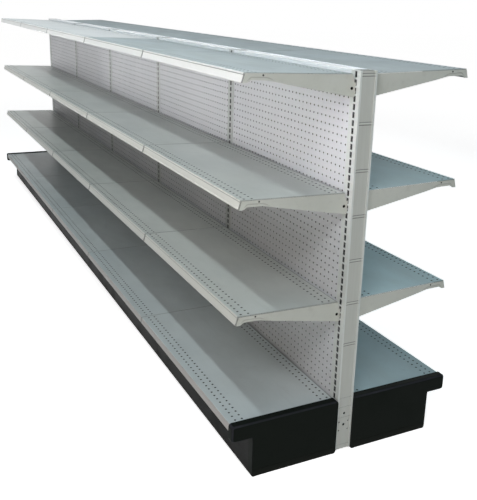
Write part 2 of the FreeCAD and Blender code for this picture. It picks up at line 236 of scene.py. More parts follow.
class Nodes:
    """The node tree of one material or world."""

    def __init__(self, tree: bpy.types.NodeTree, variety: float = 0.0) -> None:
        """Empties the tree.

        Args:
            tree: The tree.
            variety: How far the noise of two pieces may lie apart.
        """
        self.tree = tree
        self.variety = variety
        tree.nodes.clear()

    def add(self, kind: str, settings: Mapping[str, Any] | None = None,
            sockets: Mapping[int | str, Any] | None = None, output: int | str = 0) -> Socket | None:
        """Adds a node, sets it up and joins it.

        Args:
            kind: The node's type.
            settings: Its own settings, set first.
            sockets: Values or links of its input sockets, by name or number.
            output: Which output to hand back.

        Returns:
            The chosen output, or None for a node that ends the tree.
        """
        node = self.tree.nodes.new(kind)
        for key, value in (settings or {}).items():
            setattr(node, key, value)
        for key, value in (sockets or {}).items():
            target = node.inputs[key]
            if isinstance(value, Socket):
                self.tree.links.new(value.socket, target)
            elif target.type == "RGBA" and len(value) == 3:
                target.default_value = (*value, 1.0)
            else:
                target.default_value = value
        return Socket(self, node.outputs[output]) if node.outputs else None

    def axes(self, vector: Socket) -> tuple[Socket, Socket, Socket]:
        """The three parts of a vector."""
        node = self.add("ShaderNodeSeparateXYZ", {}, {0: vector}).socket.node
        return tuple(Socket(self, out) for out in node.outputs)

    @cached_property
    def place(self) -> Socket:
        """Position in the piece's own frame, in metres."""
        return self.add("ShaderNodeTexCoord", output="Object")

    @cached_property
    def spot(self) -> tuple[Socket, Socket, Socket]:
        """The three parts of the position."""
        return self.axes(self.place)

    @cached_property
    def facing(self) -> tuple[Socket, Socket, Socket]:
        """The three parts of the surface's direction in the piece's own frame."""
        return self.axes(self.add("ShaderNodeTexCoord", output="Normal"))

    @cached_property
    def drift(self) -> Socket | float:
        """Number that sets this piece's noise apart."""
        return self.add("ShaderNodeObjectInfo", output="Random") * self.variety if self.variety else 0.0

    def noise(self, grain: Grain) -> Socket:
        """A pattern's noise, which differs from piece to piece.

        Args:
            grain: The pattern.

        Returns:
            A value round 0.5.
        """
        vector, scale = self.place, grain.scale
        if isinstance(scale, tuple):
            vector = self.add("ShaderNodeVectorMath", {"operation": "MULTIPLY"}, {0: vector, 1: scale})
            scale = 1.0
        values = {"Vector": vector, "W": self.drift, "Scale": scale, "Detail": grain.detail,
                  "Roughness": grain.rough}
        return self.add("ShaderNodeTexNoise", {"noise_dimensions": "4D"}, values)

    def patches(self, grain: Grain) -> Socket:
        """A pattern's share, 0 to 1, which fades in over its own range of noise."""
        return self.noise(grain).rise(grain.start, grain.full)

    def blend(self, share: Any, first: Any, second: Any) -> Socket:
        """A colour between two."""
        return self.add("ShaderNodeMix", {"data_type": "RGBA"}, {0: share, 6: first, 7: second}, output=2)

    def bump(self, grain: Grain, strength: float, depth: float) -> Socket:
        """A normal bent by a pattern whose depth is in millimetres."""
        values = {"Height": self.noise(grain), "Strength": strength, "Distance": depth * MM}
        return self.add("ShaderNodeBump", {}, values)


# Patterns

PAINT_CLOUDS = Grain(3.0, 3.0)
GRIME = Grain(21.0, 6.0, 0.52, 0.82, 0.68)
SMEARS = Grain((5.0, 34.0, 34.0), 4.0, 0.56, 0.8)
SPECKS = Grain(240.0, 2.0, 0.69, 0.76)
SCUFFS = Grain((9.0, 190.0, 190.0), 3.0, 0.45, 0.75)
ORANGE_PEEL = Grain(420.0, 2.0)
DUST_DRIFTS = Grain((4.0, 9.0, 9.0), 5.0, 0.3, 0.75)
CHIPS = Grain((60.0, 300.0, 300.0), 4.0, 0.58, 0.66)
BRUSHING = Grain((120.0, 120.0, 3.0), 3.0)
SLOT_WEAR = Grain(160.0, 3.0)
BOARD_CLOUDS = Grain(2.2, 4.0)
BOARD_MARKS = Grain(12.0, 6.0, 0.58, 0.85, 0.7)
PRESSED_TEXTURE = Grain(700.0, 3.0)
STREAKS = Grain((40.0, 14.0, 150.0), 5.0, 0.63, 0.82, 0.7)
SMUDGES = Grain(9.0, 5.0, 0.45, 0.8)
MOULD_GRAIN = Grain(900.0, 3.0)
DULL_PATCHES = Grain(30.0, 5.0, 0.4, 0.75)
FLOOR_GRAIN = Grain(60.0, 3.0)


# Finishes


class Finish:
    """A material made once and shared by the pieces that carry it."""

    name: str
    variety: ClassVar[float]

    def surface(self, nodes: Nodes) -> dict[str, Any]:
        """Values and links of the main shader's sockets."""
        raise NotImplementedError

    def material(self) -> bpy.types.Material:
        """Makes the material on first use.

        Returns:
            The material.
        """
        found = bpy.data.materials.get(self.name)
        if found is not None:
            return found
        made = bpy.data.materials.new(self.name)
        made.use_nodes = True
        nodes = Nodes(made.node_tree, self.variety)
        shader = nodes.add("ShaderNodeBsdfPrincipled", {}, self.surface(nodes))
        nodes.add("ShaderNodeOutputMaterial", {}, {"Surface": shader})
        return made


@dataclass(frozen=True)
class Enamel(Finish):
    """Baked enamel on steel sheet: faint orange peel, uneven tone, handling grime and fine scuffs."""

    variety = 37.0
    name: str
    colour: Colour
    cast: Colour
    soil: Colour = linear(112, 104, 92)
    soiling: float = 0.3
    roughness: float = 0.32
    shine: float = 0.4
    scuffs: float = 0.5
    dulling: float = 0.5
    scuff_dulling: float = 0.12
    dirt_mix: Triple = (0.6, 0.4, 0.5)
    peel: Point2 = (0.12, 0.4)

    def tone(self, nodes: Nodes) -> tuple[Socket, Socket]:
        """Paint colour with grime.

        Args:
            nodes: The tree.

        Returns:
            The colour and the share of grime.
        """
        shares = zip((GRIME, SMEARS, SPECKS), self.dirt_mix)
        grime, smears, specks = (nodes.patches(grain) * share for grain, share in shares)
        dirt = (grime + smears + specks) * self.soiling
        paint = nodes.blend(nodes.patches(PAINT_CLOUDS), self.colour, self.cast)
        return nodes.blend(dirt, paint, self.soil), dirt

    def surface(self, nodes: Nodes) -> dict[str, Any]:
        """Grimy paint over orange peel, duller where it is dirty or scuffed.

        Args:
            nodes: The tree.

        Returns:
            Values and links of the main shader's sockets.
        """
        colour, dirt = self.tone(nodes)
        rub = nodes.patches(SCUFFS) * (self.scuff_dulling * self.scuffs)
        return {
            "Base Color": colour,
            "Roughness": self.roughness + dirt * self.dulling + rub,
            "Specular IOR Level": self.shine,
            "Normal": nodes.bump(ORANGE_PEEL, *self.peel),
        }


@dataclass(frozen=True, kw_only=True)
class ShelfEnamel(Enamel):
    """Enamel of a shelf or deck: dust on the flat, painted shade in its lines and joints, a worn front bend.
    """

    pan: "Pan"
    upward: Point2 = (0.6, 0.95)
    forward: Point2 = (-0.4, -0.85)
    front: Point2 = (370.0, 384.0)
    bend_worn: Point2 = (0.6, 7.0)
    chipping: float = 0.6
    # Colour of the lip's forward faces; darker than the pan on the deck, where it is painted shade
    lip: Colour = linear(226, 223, 215)
    lip_share: float = 0.9
    # Painted shade: the dark colour of the step under the front bend, of the joints and of the rear line
    step: Colour = linear(96, 94, 88)
    step_edges: Edges = (4.6, 5.6, 6.9, 8.0)
    step_shade: float = 0.7
    # Painted shade in the gaps between shelves, across the flat and wider on the lip
    joint_line: Point2 = (1.4, 3.4)
    joint_shade: float = 0.36
    lip_joint_line: Point2 = (3.0, 6.0)
    lip_joint_shade: float = 0.8
    # Painted shadow along the rear edge, where the shelf meets the board
    rear_line: Point2 = (3.0, 7.0)
    rear_shade: float = 0.64
    dust: Colour = linear(150, 152, 146)
    dusting: float = 0.25
    dust_least: float = 0.35
    dust_dulling: float = 0.4
    bare: Colour = linear(128, 130, 130)

    def tone(self, nodes: Nodes) -> tuple[Socket, Socket]:
        """Paint colour with grime, dust on upward faces, painted shade in the step, joints and rear line,
        and a worn front bend.

        Args:
            nodes: The tree.

        Returns:
            The colour and the share of grime.
        """
        colour, dirt = super().tone(nodes)
        along, outward, height = nodes.spot
        _, forward, lifted = nodes.facing
        upward = lifted.rise(*self.upward)
        settled = upward * nodes.patches(DUST_DRIFTS).above(self.dust_least) * self.dusting
        colour = nodes.blend(settled, colour, self.dust)

        at_front = outward.rise(-self.front[0] * MM, -self.front[1] * MM)
        # The lip's forward faces take the lip colour, which on the deck is set darker as painted shade
        on_lip = forward.rise(*self.forward) * at_front
        colour = nodes.blend(on_lip * self.lip_share, colour, self.lip)
        # Painted shadow in the step below the lip's front bend
        below = self.pan.front[1] * MM - height
        in_step = on_lip * below.within(self.step_edges)
        colour = nodes.blend(in_step * self.step_shade, colour, self.step)

        # Painted shade along the shelf's ends, where it meets the next one
        from_end = self.pan.half * MM - abs(along)
        at_joint = from_end.near(self.joint_line) * self.joint_shade
        at_lip_joint = on_lip * from_end.near(self.lip_joint_line) * self.lip_joint_shade
        # Painted shadow on the upward faces along the rear edge
        from_rear = -self.pan.rear[0] * MM - outward
        at_rear = from_rear.near(self.rear_line) * upward * self.rear_shade
        colour = nodes.blend(at_joint.either(at_lip_joint).either(at_rear), colour, self.step)

        at_bend = below.near(self.bend_worn) * (1.0 - upward) * at_front
        colour = nodes.blend(at_bend * nodes.patches(CHIPS) * self.chipping, colour, self.bare)
        return colour, dirt + settled * self.dust_dulling


@dataclass(frozen=True)
class StampedEnamel(Enamel):
    """Enamel of a stamped bracket: its edges painted dark as the shadow line along them, and duller."""

    # Painted shadow line: the colour of the plate's edges
    edge: Colour = linear(58, 56, 52)
    edge_shade: float = 0.85
    edge_dulling: float = 0.3
    edge_on: Point2 = (0.5, 0.2)

    def tone(self, nodes: Nodes) -> tuple[Socket, Socket]:
        """Paint colour with grime, and painted shade on the edges.

        Args:
            nodes: The tree.

        Returns:
            The colour and the share of grime.
        """
        colour, dirt = super().tone(nodes)
        # Faces across the plate, its edges, take the painted shadow colour
        shaded_edges = abs(nodes.facing[0]).rise(*self.edge_on)
        colour = nodes.blend(shaded_edges * self.edge_shade, colour, self.edge)
        return colour, dirt + shaded_edges * self.edge_dulling


@dataclass(frozen=True)
class SlottedEnamel(Enamel):
    """Enamel of an upright, with painted shade in and round its slots (partly rub marks), on the web, beads,
    creases and recess.
    """

    bay: float = BAY
    slot_half: float = 3.3
    rub_and_shade_half: float = 5.8
    rub_and_shade_margin: float = 0.8
    rub_and_shade_tall: float = 10.2
    wear: float = 1.6
    slot_height: float = TOP_SLOT
    pitch: float = PITCH
    face: float = 31.2
    # Painted shade: the dark colour inside the slots, and in the partly rubbed patch round each one
    inside: Colour = linear(24, 25, 28)
    # Painted shade on the upright's front, for the recess between the boards
    recess: Colour = linear(96, 96, 98)
    recess_shade: float = 0.0
    end_on: Point2 = (0.7, 0.9)
    web_edge: Point2 = (25.1, 26.1)
    # The end web's colour, darker than the front: painted shade on the faces that face the ends
    web: Colour = linear(195, 195, 190)
    web_least: float = 0.85
    bead_pitch: float = 6 * PITCH
    bead_low: float = 380.0
    # Painted shade along the edges of the pressed beads and in the creases
    bead_edges: Edges = (2.6, 3.6, 5.0, 6.0)
    bead_line_shade: Colour = linear(84, 84, 80)
    bead_share: float = 0.8
    creases: tuple[float, ...] = (212.0, 176.0, 135.0, 25.5)
    crease_half: float = 1.3
    crease_share: float = 0.7

    def tone(self, nodes: Nodes) -> tuple[Socket, Socket]:
        """Paint colour with grime and a brushed web, with painted shade on the web, beads, creases, recess
        and slots.

        Args:
            nodes: The tree.

        Returns:
            The colour and the share of grime.
        """
        colour, dirt = super().tone(nodes)
        along, across, height = nodes.spot
        end_on = abs(nodes.facing[0]).rise(*self.end_on)
        on_web = end_on * abs(across).near(self.web_edge)
        brushed = nodes.patches(BRUSHING).above(self.web_least)
        # Painted shade: the end webs take the darker web colour, broken by a brushed pattern
        colour = nodes.blend(on_web * brushed, colour, self.web)

        # Painted shade along the beads' edges and in the creases of the web
        edges = height.from_nearest(self.slot_height, self.bead_pitch).within(self.bead_edges)
        bead_shading = on_web * edges * (height > self.bead_low * MM)
        for crease in self.creases:
            creased = on_web * (abs(height - crease * MM) < self.crease_half * MM)
            bead_shading = bead_shading.either(creased * self.crease_share)
        colour = nodes.blend(bead_shading * self.bead_share, colour, self.bead_line_shade)
        # Painted shade of the recess between the boards, on every face but the end webs
        colour = nodes.blend((1.0 - end_on) * self.recess_shade, colour, self.recess)

        # Slot walls painted dark as the shade inside the tube; round each slot a patch that is partly rub
        # marks, partly painted shade
        from_line = along.from_nearest(self.bay / 2, self.bay)
        from_slot = height.from_nearest(self.slot_height, self.pitch)
        wear = nodes.noise(SLOT_WEAR) * (self.wear * MM)
        beside = from_line + wear < (self.rub_and_shade_half + self.rub_and_shade_margin) * MM
        rubbed_with_painted_light = beside * (from_slot + wear < self.rub_and_shade_tall * MM)
        in_slot = (from_line < self.slot_half * MM) * (abs(across) < self.face * MM)
        dark = in_slot.either(rubbed_with_painted_light * (1.0 - end_on))
        return nodes.blend(dark, colour, self.inside), dirt


@dataclass(frozen=True)
class Pegboard(Finish):
    """Painted hardboard: soft sheen, faint pressed texture, near black fibre in the holes as painted shade.
    """

    variety = 23.0
    name: str
    colour: Colour
    cast: Colour
    # Raw fibre, made near black: painted shade in the holes
    shaded_fibre: Colour = linear(38, 34, 32)
    soil: Colour = linear(128, 122, 114)
    soiling: float = 0.22
    cut: Point2 = (0.7, 0.3)
    roughness: float = 0.46
    mark_dulling: float = 0.2
    cut_dulling: float = 0.4
    texture: Point2 = (0.15, 0.3)

    def surface(self, nodes: Nodes) -> dict[str, Any]:
        """Marked paint on the faces, fibre where they are cut, dark enough to paint the shade in the holes.

        Args:
            nodes: The tree.

        Returns:
            Values and links of the main shader's sockets.
        """
        marks = nodes.patches(BOARD_MARKS)
        paint = nodes.blend(nodes.patches(BOARD_CLOUDS), self.colour, self.cast)
        paint = nodes.blend(marks * self.soiling, paint, self.soil)
        cut = abs(nodes.facing[1]).rise(*self.cut)
        return {
            "Base Color": nodes.blend(cut, paint, self.shaded_fibre),
            "Roughness": self.roughness + marks * self.mark_dulling + cut * self.cut_dulling,
            "Normal": nodes.bump(PRESSED_TEXTURE, *self.texture),
        }


@dataclass(frozen=True)
class MouldedPlastic(Finish):
    """Black moulded plastic: fine grain, pale scuffs, roundings lighter as rub wear and painted highlight,
    dust towards the floor.
    """

    variety = 19.0
    name: str
    colour: Colour
    scuff: Colour = linear(62, 64, 62)
    scuffing: float = 0.28
    dust: Colour = linear(62, 61, 57)
    dusting: float = 0.35
    dust_height: float = 42.0
    dust_least: float = 0.4
    # Lighter colour of the roundings: rub wear with a painted highlight
    rubbed_with_painted_light: Colour = linear(54, 54, 60)
    rub_and_highlight_least: float = 0.5
    rounding: Point2 = (0.985, 0.88)
    roughness: float = 0.44
    smudge_dulling: float = 0.16
    dust_dulling: float = 0.2
    shine: float = 0.03
    grain: Point2 = (0.25, 0.4)

    def surface(self, nodes: Nodes) -> dict[str, Any]:
        """Scuffed plastic, lighter where it is rounded (rub wear and painted highlight), and dusty near the
        floor.

        Args:
            nodes: The tree.

        Returns:
            Values and links of the main shader's sockets.
        """
        smudge = nodes.patches(SMUDGES)
        low = nodes.spot[2].near((0.0, self.dust_height)) * smudge.above(self.dust_least)
        colour = nodes.blend(nodes.patches(STREAKS) * self.scuffing, self.colour, self.scuff)
        # Roundings lighter: rub wear and a painted highlight on the rim
        across, deep, up = (abs(part) for part in nodes.facing)
        rounding = across.either(deep).either(up).rise(*self.rounding)
        colour = nodes.blend(rounding * smudge.above(self.rub_and_highlight_least), colour, self.rubbed_with_painted_light)
        return {
            "Base Color": nodes.blend(low * self.dusting, colour, self.dust),
            "Roughness": self.roughness + smudge * self.smudge_dulling + low * self.dust_dulling,
            "Specular IOR Level": self.shine,
            "Normal": nodes.bump(MOULD_GRAIN, *self.grain),
        }


@dataclass(frozen=True)
class Zinc(Finish):
    """Zinc-plated steel: spangled grey metal with dull patches."""

    variety = 11.0
    name: str
    colour: Colour = linear(168, 170, 168)
    dull: Colour = linear(108, 106, 100)
    spangles: float = 140.0
    metal: float = 0.9
    metal_loss: float = 0.3
    roughness: float = 0.34
    spangle_dulling: float = 0.14
    patch_dulling: float = 0.2

    def surface(self, nodes: Nodes) -> dict[str, Any]:
        """Spangled metal, duller in patches.

        Args:
            nodes: The tree.

        Returns:
            Values and links of the main shader's sockets.
        """
        cells = {"Vector": nodes.place, "Scale": self.spangles}
        shade = nodes.axes(nodes.add("ShaderNodeTexVoronoi", {}, cells, output="Color"))[0]
        patches = nodes.patches(DULL_PATCHES)
        return {
            "Base Color": nodes.blend(patches, self.colour, self.dull),
            "Metallic": self.metal - patches * self.metal_loss,
            "Roughness": self.roughness + shade * self.spangle_dulling + patches * self.patch_dulling,
        }


# Mesh tools


def rounded(corners: Sequence[Corner], closed: bool = False, steps: int = 4) -> list[Point2]:
    """Rounds the corners of an outline.

    Args:
        corners: Points with the radius of each.
        closed: Whether the last corner joins the first.
        steps: Chords in each arc.

    Returns:
        The points of the rounded outline.
    """
    points: list[Point2] = []
    last = len(corners) - 1
    for i, (u, w, radius) in enumerate(corners):
        if radius <= 0 or (not closed and i in (0, last)):
            points.append((u, w))
            continue
        here = Vector((u, w))
        back = (Vector(corners[i - 1][:2]) - here).normalized()
        ahead = (Vector(corners[(i + 1) % len(corners)][:2]) - here).normalized()
        half = math.acos(max(-1.0, min(1.0, back.dot(ahead)))) / 2
        centre = here + (back + ahead).normalized() * (radius / math.sin(half))
        start = here + back * (radius / math.tan(half)) - centre
        end = here + ahead * (radius / math.tan(half)) - centre
        first = math.atan2(start.y, start.x)
        sweep = (math.atan2(end.y, end.x) - first + math.pi) % math.tau - math.pi
        for k in range(steps + 1):
            angle = first + sweep * k / steps
            points.append((centre.x + radius * math.cos(angle), centre.y + radius * math.sin(angle)))
    return points


def ring(u: float, w: float, radius: float, sides: int) -> list[Point2]:
    """A round outline."""
    turns = (math.tau * k / sides for k in range(sides))
    return [(u + radius * math.cos(a), w + radius * math.sin(a)) for a in turns]


def bearings(points: Sequence[Vector], sharpest: float) -> list[tuple[Vector, Vector]]:
    """Finds how an outline runs at each of its points, with its inside on the right of travel.

    Args:
        points: The outline.
        sharpest: Least cosine of half a turn; a sharper turn moves in as that one does.

    Returns:
        At each point, the unit direction of travel and the step that moves its runs inward by 1.
    """
    found: list[tuple[Vector, Vector]] = []
    for i in range(len(points)):
        beside = [j for j in (i - 1, i) if 0 <= j < len(points) - 1]
        runs = [(points[j + 1] - points[j]).normalized() for j in beside]
        along = sum(runs, Vector((0.0, 0.0))).normalized()
        found.append((along, Vector((along.y, -along.x)) / max(sharpest, along.dot(runs[0]))))
    return found


class Draft:
    """Corners and faces in millimetres, on their way to a mesh in metres."""

    def __init__(self, finish: Finish) -> None:
        """Starts empty.

        Args:
            finish: Finish of the faces that are given no other.
        """
        self.points: list[Corner] = []
        self.faces: list[list[int]] = []
        self.finishes = [finish]
        self.kinds: list[int] = []

    def point(self, x: float, y: float, z: float) -> int:
        """Adds a corner and returns its number."""
        self.points.append((x * MM, y * MM, z * MM))
        return len(self.points) - 1

    def between(self, first: int, second: int, share: float) -> int:
        """Adds a corner on the line between two others and returns its number."""
        a, b = self.points[first], self.points[second]
        return self.point(*((p + (q - p) * share) / MM for p, q in zip(a, b)))

    def face(self, corners: Sequence[int], finish: Finish | None = None) -> None:
        """Adds a face.

        Args:
            corners: Its corners in order.
            finish: Its finish, if not the draft's own.
        """
        finish = finish or self.finishes[0]
        if finish not in self.finishes:
            self.finishes.append(finish)
        self.faces.append(list(corners))
        self.kinds.append(self.finishes.index(finish))

    def band(self, first: Sequence[int], second: Sequence[int], finish: Finish | None = None,
             closed: bool = False) -> None:
        """Joins two rows of corners with four-sided faces.

        Args:
            first: One row.
            second: The other, as long.
            finish: Finish of the faces, if not the draft's own.
            closed: Whether the rows are loops.
        """
        count = len(first)
        for i in range(count if closed else count - 1):
            j = (i + 1) % count
            self.face((first[i], first[j], second[j], second[i]), finish)

    def pockets(self, first: Sequence[int], second: Sequence[int], finish: Finish) -> None:
        """Adds a hole that goes in from two faces and ends each time in a floor inside the sheet, whose
        finish paints the hole's shade.

        Args:
            first: Loop of its mouth on one face.
            second: Loop of its mouth on the other.
            finish: Finish inside it.
        """
        for mouth, behind in ((first, second), (second, first)):
            floor = [self.between(near, far, HOLE_DEPTH) for near, far in zip(mouth, behind)]
            self.band(mouth, floor, finish, closed=True)
            self.face(floor, finish)

    def box(self, low: Corner, high: Corner) -> None:
        """Adds a closed block.

        Args:
            low: Its lowest corner.
            high: Its highest corner.
        """
        plan = ((low[0], low[1]), (high[0], low[1]), (high[0], high[1]), (low[0], high[1]))
        corners = [self.point(x, y, z) for z in (low[2], high[2]) for x, y in plan]
        self.band(corners[:4], corners[4:], closed=True)
        self.face(corners[:4])
        self.face(corners[4:])

    def mesh(self, name: str) -> bpy.types.Mesh:
        """Makes the mesh, with its faces turned outward.

        Args:
            name: The mesh's name.

        Returns:
            The mesh.
        """
        made = bpy.data.meshes.new(name)
        made.from_pydata(self.points, [], self.faces)
        for finish in self.finishes:
            made.materials.append(finish.material())
        made.polygons.foreach_set("material_index", self.kinds)
        work = bmesh.new()
        work.from_mesh(made)
        bmesh.ops.recalc_face_normals(work, faces=work.faces)
        work.to_mesh(made)
        work.free()
        return made


@dataclass(frozen=True)
class HoleRow:
    """A row of round holes along X, on a line of a bent sheet's outer face."""

    out: float
    up: float
    centres: tuple[float, ...]
    radius: float
    sides: int = 8


@dataclass
class SheetLine:
    """Corner numbers along one line of a sheet: towards its end, towards its start, and round each hole."""

    ahead: list[int]
    behind: list[int]
    loops: list[list[int]] = field(default_factory=list)


@dataclass(frozen=True)
class BentSheet:
    """A sheet bent along X. Its path is the outer face, with the outside on the left of travel."""

    path: tuple[Point2, ...]
    gauge: float
    half: float
    rows: tuple[HoleRow, ...] = ()
    row_play: float = 0.05
    sharpest: float = 0.4

    def stations(self) -> list[tuple[Vector, HoleRow | None]]:
        """Puts the hole rows in among the path's points, where they lie.

        Returns:
            The points in order, each with its row if it has one.
        """
        spots: list[tuple[Vector, HoleRow | None]] = [(Vector(self.path[0]), None)]
        for start, end in zip(self.path, self.path[1:]):
            here, run = Vector(start), Vector(end) - Vector(start)
            on_run = []
            for row in self.rows:
                reach = (Vector((row.out, row.up)) - here).dot(run) / run.length_squared
                off = (here + run * reach - Vector((row.out, row.up))).length
                if 0 < reach < 1 and off < self.row_play:
                    on_run.append((reach, row))
            for reach, row in sorted(on_run, key=lambda spot: spot[0]):
                spots.append((here + run * reach, row))
            spots.append((Vector(end), None))
        return spots

    def _line(self, draft: Draft, spot: Vector, along: Vector, row: HoleRow | None) -> SheetLine:
        """Adds the corners of one line.

        Args:
            draft: Where the corners go.
            spot: The line's place, outward and up.
            along: Unit direction of travel there.
            row: Holes on it, if any.

        Returns:
            The line's corner numbers.
        """

        def corner(x: float, shift: float) -> int:
            """A corner at x, moved along the path."""
            at = spot + along * shift
            return draft.point(x, -at.x, at.y)

        left = corner(-self.half, 0.0)
        line = SheetLine([left], [left])
        for centre in row.centres if row else ():
            loop = [corner(centre - x, y) for x, y in ring(0.0, 0.0, row.radius, row.sides)]
            half = row.sides // 2
            line.ahead += loop[:half + 1]
            line.behind += [loop[0], *loop[:half - 1:-1]]
            line.loops.append(loop)
        right = corner(self.half, 0.0)
        line.ahead.append(right)
        line.behind.append(right)
        return line

    def build(self, draft: Draft, inside: Finish | None = None) -> None:
        """Adds the closed sheet, with its holes.

        Args:
            draft: Where it goes.
            inside: Finish in holes that a floor closes; without it they go right through.
        """
        spots = self.stations()
        outer: list[SheetLine] = []
        inner: list[SheetLine] = []
        ways = bearings([spot for spot, _ in spots], self.sharpest)
        for (spot, row), (along, inward) in zip(spots, ways):
            outer.append(self._line(draft, spot, along, row))
            inner.append(self._line(draft, spot + inward * self.gauge, along, row))
        for skin in (outer, inner):
            for before, after in zip(skin, skin[1:]):
                draft.face(before.ahead + after.behind[::-1])
        for last in (0, -1):
            draft.band(outer[last].ahead, inner[last].ahead)
        for rim in (0, -1):
            draft.band(*([line.ahead[rim] for line in skin] for skin in (outer, inner)))
        for out_line, in_line in zip(outer, inner):
            for out_loop, in_loop in zip(out_line.loops, in_line.loops):
                if inside is None:
                    draft.band(out_loop, in_loop, closed=True)
                else:
                    draft.pockets(out_loop, in_loop, inside)


def hang(name: str, data: bpy.types.ID) -> bpy.types.Object:
    """Makes an object and links it to the scene.

    Args:
        name: Its name.
        data: Its mesh, lamp or camera.

    Returns:
        The object.
    """
    made = bpy.data.objects.new(name, data)
    bpy.context.scene.collection.objects.link(made)
    return made


def weld(piece: bpy.types.Object) -> None:
    """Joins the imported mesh's split corners, for the modifiers that follow."""
    piece.modifiers.new("weld", "WELD").merge_threshold = WELD_REACH


def put(mesh: bpy.types.Mesh, name: str, body: str, where: Matrix,
        nodes: Sequence[str] = ()) -> bpy.types.Object:
    """Sets a mesh in place as a piece of the object.

    Args:
        mesh: Its mesh.
        name: The piece's name.
        body: The body it rides on.
        where: Its place.
        nodes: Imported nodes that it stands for.

    Returns:
        The piece.
    """
    piece = hang(name, mesh)
    piece.matrix_world = where
    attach(piece, body)
    if nodes:
        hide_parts(*nodes)
    log.info("piece %s on %s", name, body)
    return piece


def dress(node: str, finish: Finish, bevel: float = 0.0) -> None:
    """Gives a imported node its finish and, if asked, rounds its edges.

    Args:
        node: The node's name.
        finish: Its finish.
        bevel: Edge rounding in millimetres.
    """
    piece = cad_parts[node]
    piece.data.materials.clear()
    piece.data.materials.append(finish.material())
    if bevel > 0:
        weld(piece)
        soft = piece.modifiers.new("soft_edges", "BEVEL")
        soft.width = bevel * MM
        soft.segments = SOFT_SEGMENTS
        soft.limit_method = "ANGLE"
        soft.angle_limit = SOFT_ANGLE
    log.info("node %s dressed in %s", node, finish.name)


# The run


@dataclass(frozen=True)
class Run:
    """Places along the run that the sub-assemblies share."""

    bay: float = BAY
    bays: int = 5
    pitch: float = PITCH
    top_slot: float = TOP_SLOT
    slot_tall: float = 17.5
    hook_out: float = 29.75
    upright_wide: float = 50.8
    holes_along: int = 37
    hole_pitch: float = 24.44

    def slot_line(self, index: int) -> float:
        """X of an upright's slot line, counted from the far end."""
        return self.bay * (index - self.bays / 2)

    def bay_middle(self, index: int) -> float:
        """X of the middle of a bay."""
        return self.bay * (index - (self.bays - 1) / 2)

    def hook_edge(self, level: Level) -> float:
        """Height of the slot edge that carries a level's hooks."""
        return self.top_slot - self.pitch * level.value - self.slot_tall / 2

    def perforation(self) -> tuple[float, ...]:
        """X of the holes along a shelf or deck."""
        return tuple(self.hole_pitch * (k - (self.holes_along - 1) / 2) for k in range(self.holes_along))

    def in_bay(self, index: int, side: Side, out: float = 0.0, up: float = 0.0) -> Matrix:
        """Place of a piece that is drawn at the middle of a bay on side A.

        Args:
            index: The bay, counted from the far end.
            side: The side that it goes to.
            out: How far out from the middle of the run.
            up: How far up from the floor.

        Returns:
            The place in metres.
        """
        spot = Vector((self.bay_middle(index), side.sign * out, up))
        return Matrix.Translation(spot * MM) @ side.turn


@dataclass(frozen=True)
class Pan:
    """A pressed and perforated pan, drawn outward and up: rear flange, flat, leaning lip and hem."""

    rear: Point2
    front: Point2
    lip: Point2
    half: float
    hole_rows: tuple[float, ...]
    lip_marks: tuple[Point2, ...] = ()
    gauge: float = 1.2
    flange: float = 20.0
    hem: float = 6.0
    bend: float = 2.6
    hem_bend: float = 1.2
    hole: float = 3.9

    def path(self) -> tuple[Point2, ...]:
        """Draws the outer face.

        Returns:
            Its points from the foot of the rear flange to the end of the hem.
        """
        out, up = self.rear
        corner, lip = Vector(self.front), Vector(self.lip)
        along = lip.normalized()
        proud = Vector((-along.y, along.x))
        marks = (corner + along * drop - proud * inset for drop, inset in self.lip_marks)
        foot = corner + lip
        return tuple(rounded([
            (out, up - self.flange, 0.0), (out, up, self.bend), (*self.front, self.bend),
            *((*mark, 0.0) for mark in marks), (*foot, self.hem_bend), (foot.x - self.hem, foot.y, 0.0),
        ]))

    def build(self, draft: Draft, centres: tuple[float, ...], inside: Finish) -> None:
        """Adds the pan.

        Args:
            draft: Where it goes.
            centres: X of the holes of each row.
            inside: Finish in the holes.
        """
        (out, up), (reach, rise) = self.rear, self.front
        slope = (rise - up) / (reach - out)
        rows = tuple(HoleRow(at, up + slope * (at - out), centres, self.hole) for at in self.hole_rows)
        BentSheet(self.path(), self.gauge, self.half, rows).build(draft, inside)


# Pans of this run

SHELF_PAN = Pan(rear=(13.0, 36.2), front=(386.5, 45.4), lip=(8.9, -30.7), half=454.45,
                hole_rows=(38.75, 64.75, 343.5, 370.0),
                lip_marks=((5.6, 0.0), (6.8, 1.0), (25.5, 0.8), (27.4, 0.0)))
DECK_PAN = Pan(rear=(34.0, 203.2), front=(437.0, 203.2), lip=(4.0, -25.0), half=456.3,
               hole_rows=(52.0, 78.0, 385.0, 410.0))


# Finishes of this run

BOARD = Pegboard("pegboard_paint", linear(224, 223, 227), linear(216, 216, 220))
UPRIGHT = SlottedEnamel("upright_enamel", linear(222, 224, 222), linear(212, 215, 212), soiling=0.22)
# Inner uprights: a little darker, with wider dark patches round the slots and a darkened front, painted
# shade of the recess between the boards
INNER_UPRIGHT = SlottedEnamel("inner_upright_enamel", linear(218, 220, 219), linear(208, 211, 209),
                              soiling=0.22, rub_and_shade_half=6.9, rub_and_shade_tall=9.4, recess_shade=0.18)
RAIL = Enamel("rail_enamel", linear(246, 248, 250), linear(240, 244, 247), soiling=0.05, roughness=0.16,
              shine=0.8, scuffs=0.0, dulling=0.1)
SHELF = ShelfEnamel("shelf_enamel", linear(221, 223, 219), linear(211, 214, 211), pan=SHELF_PAN,
                    soiling=0.16, roughness=0.36, shine=0.32, scuffs=0.1, dulling=0.12)
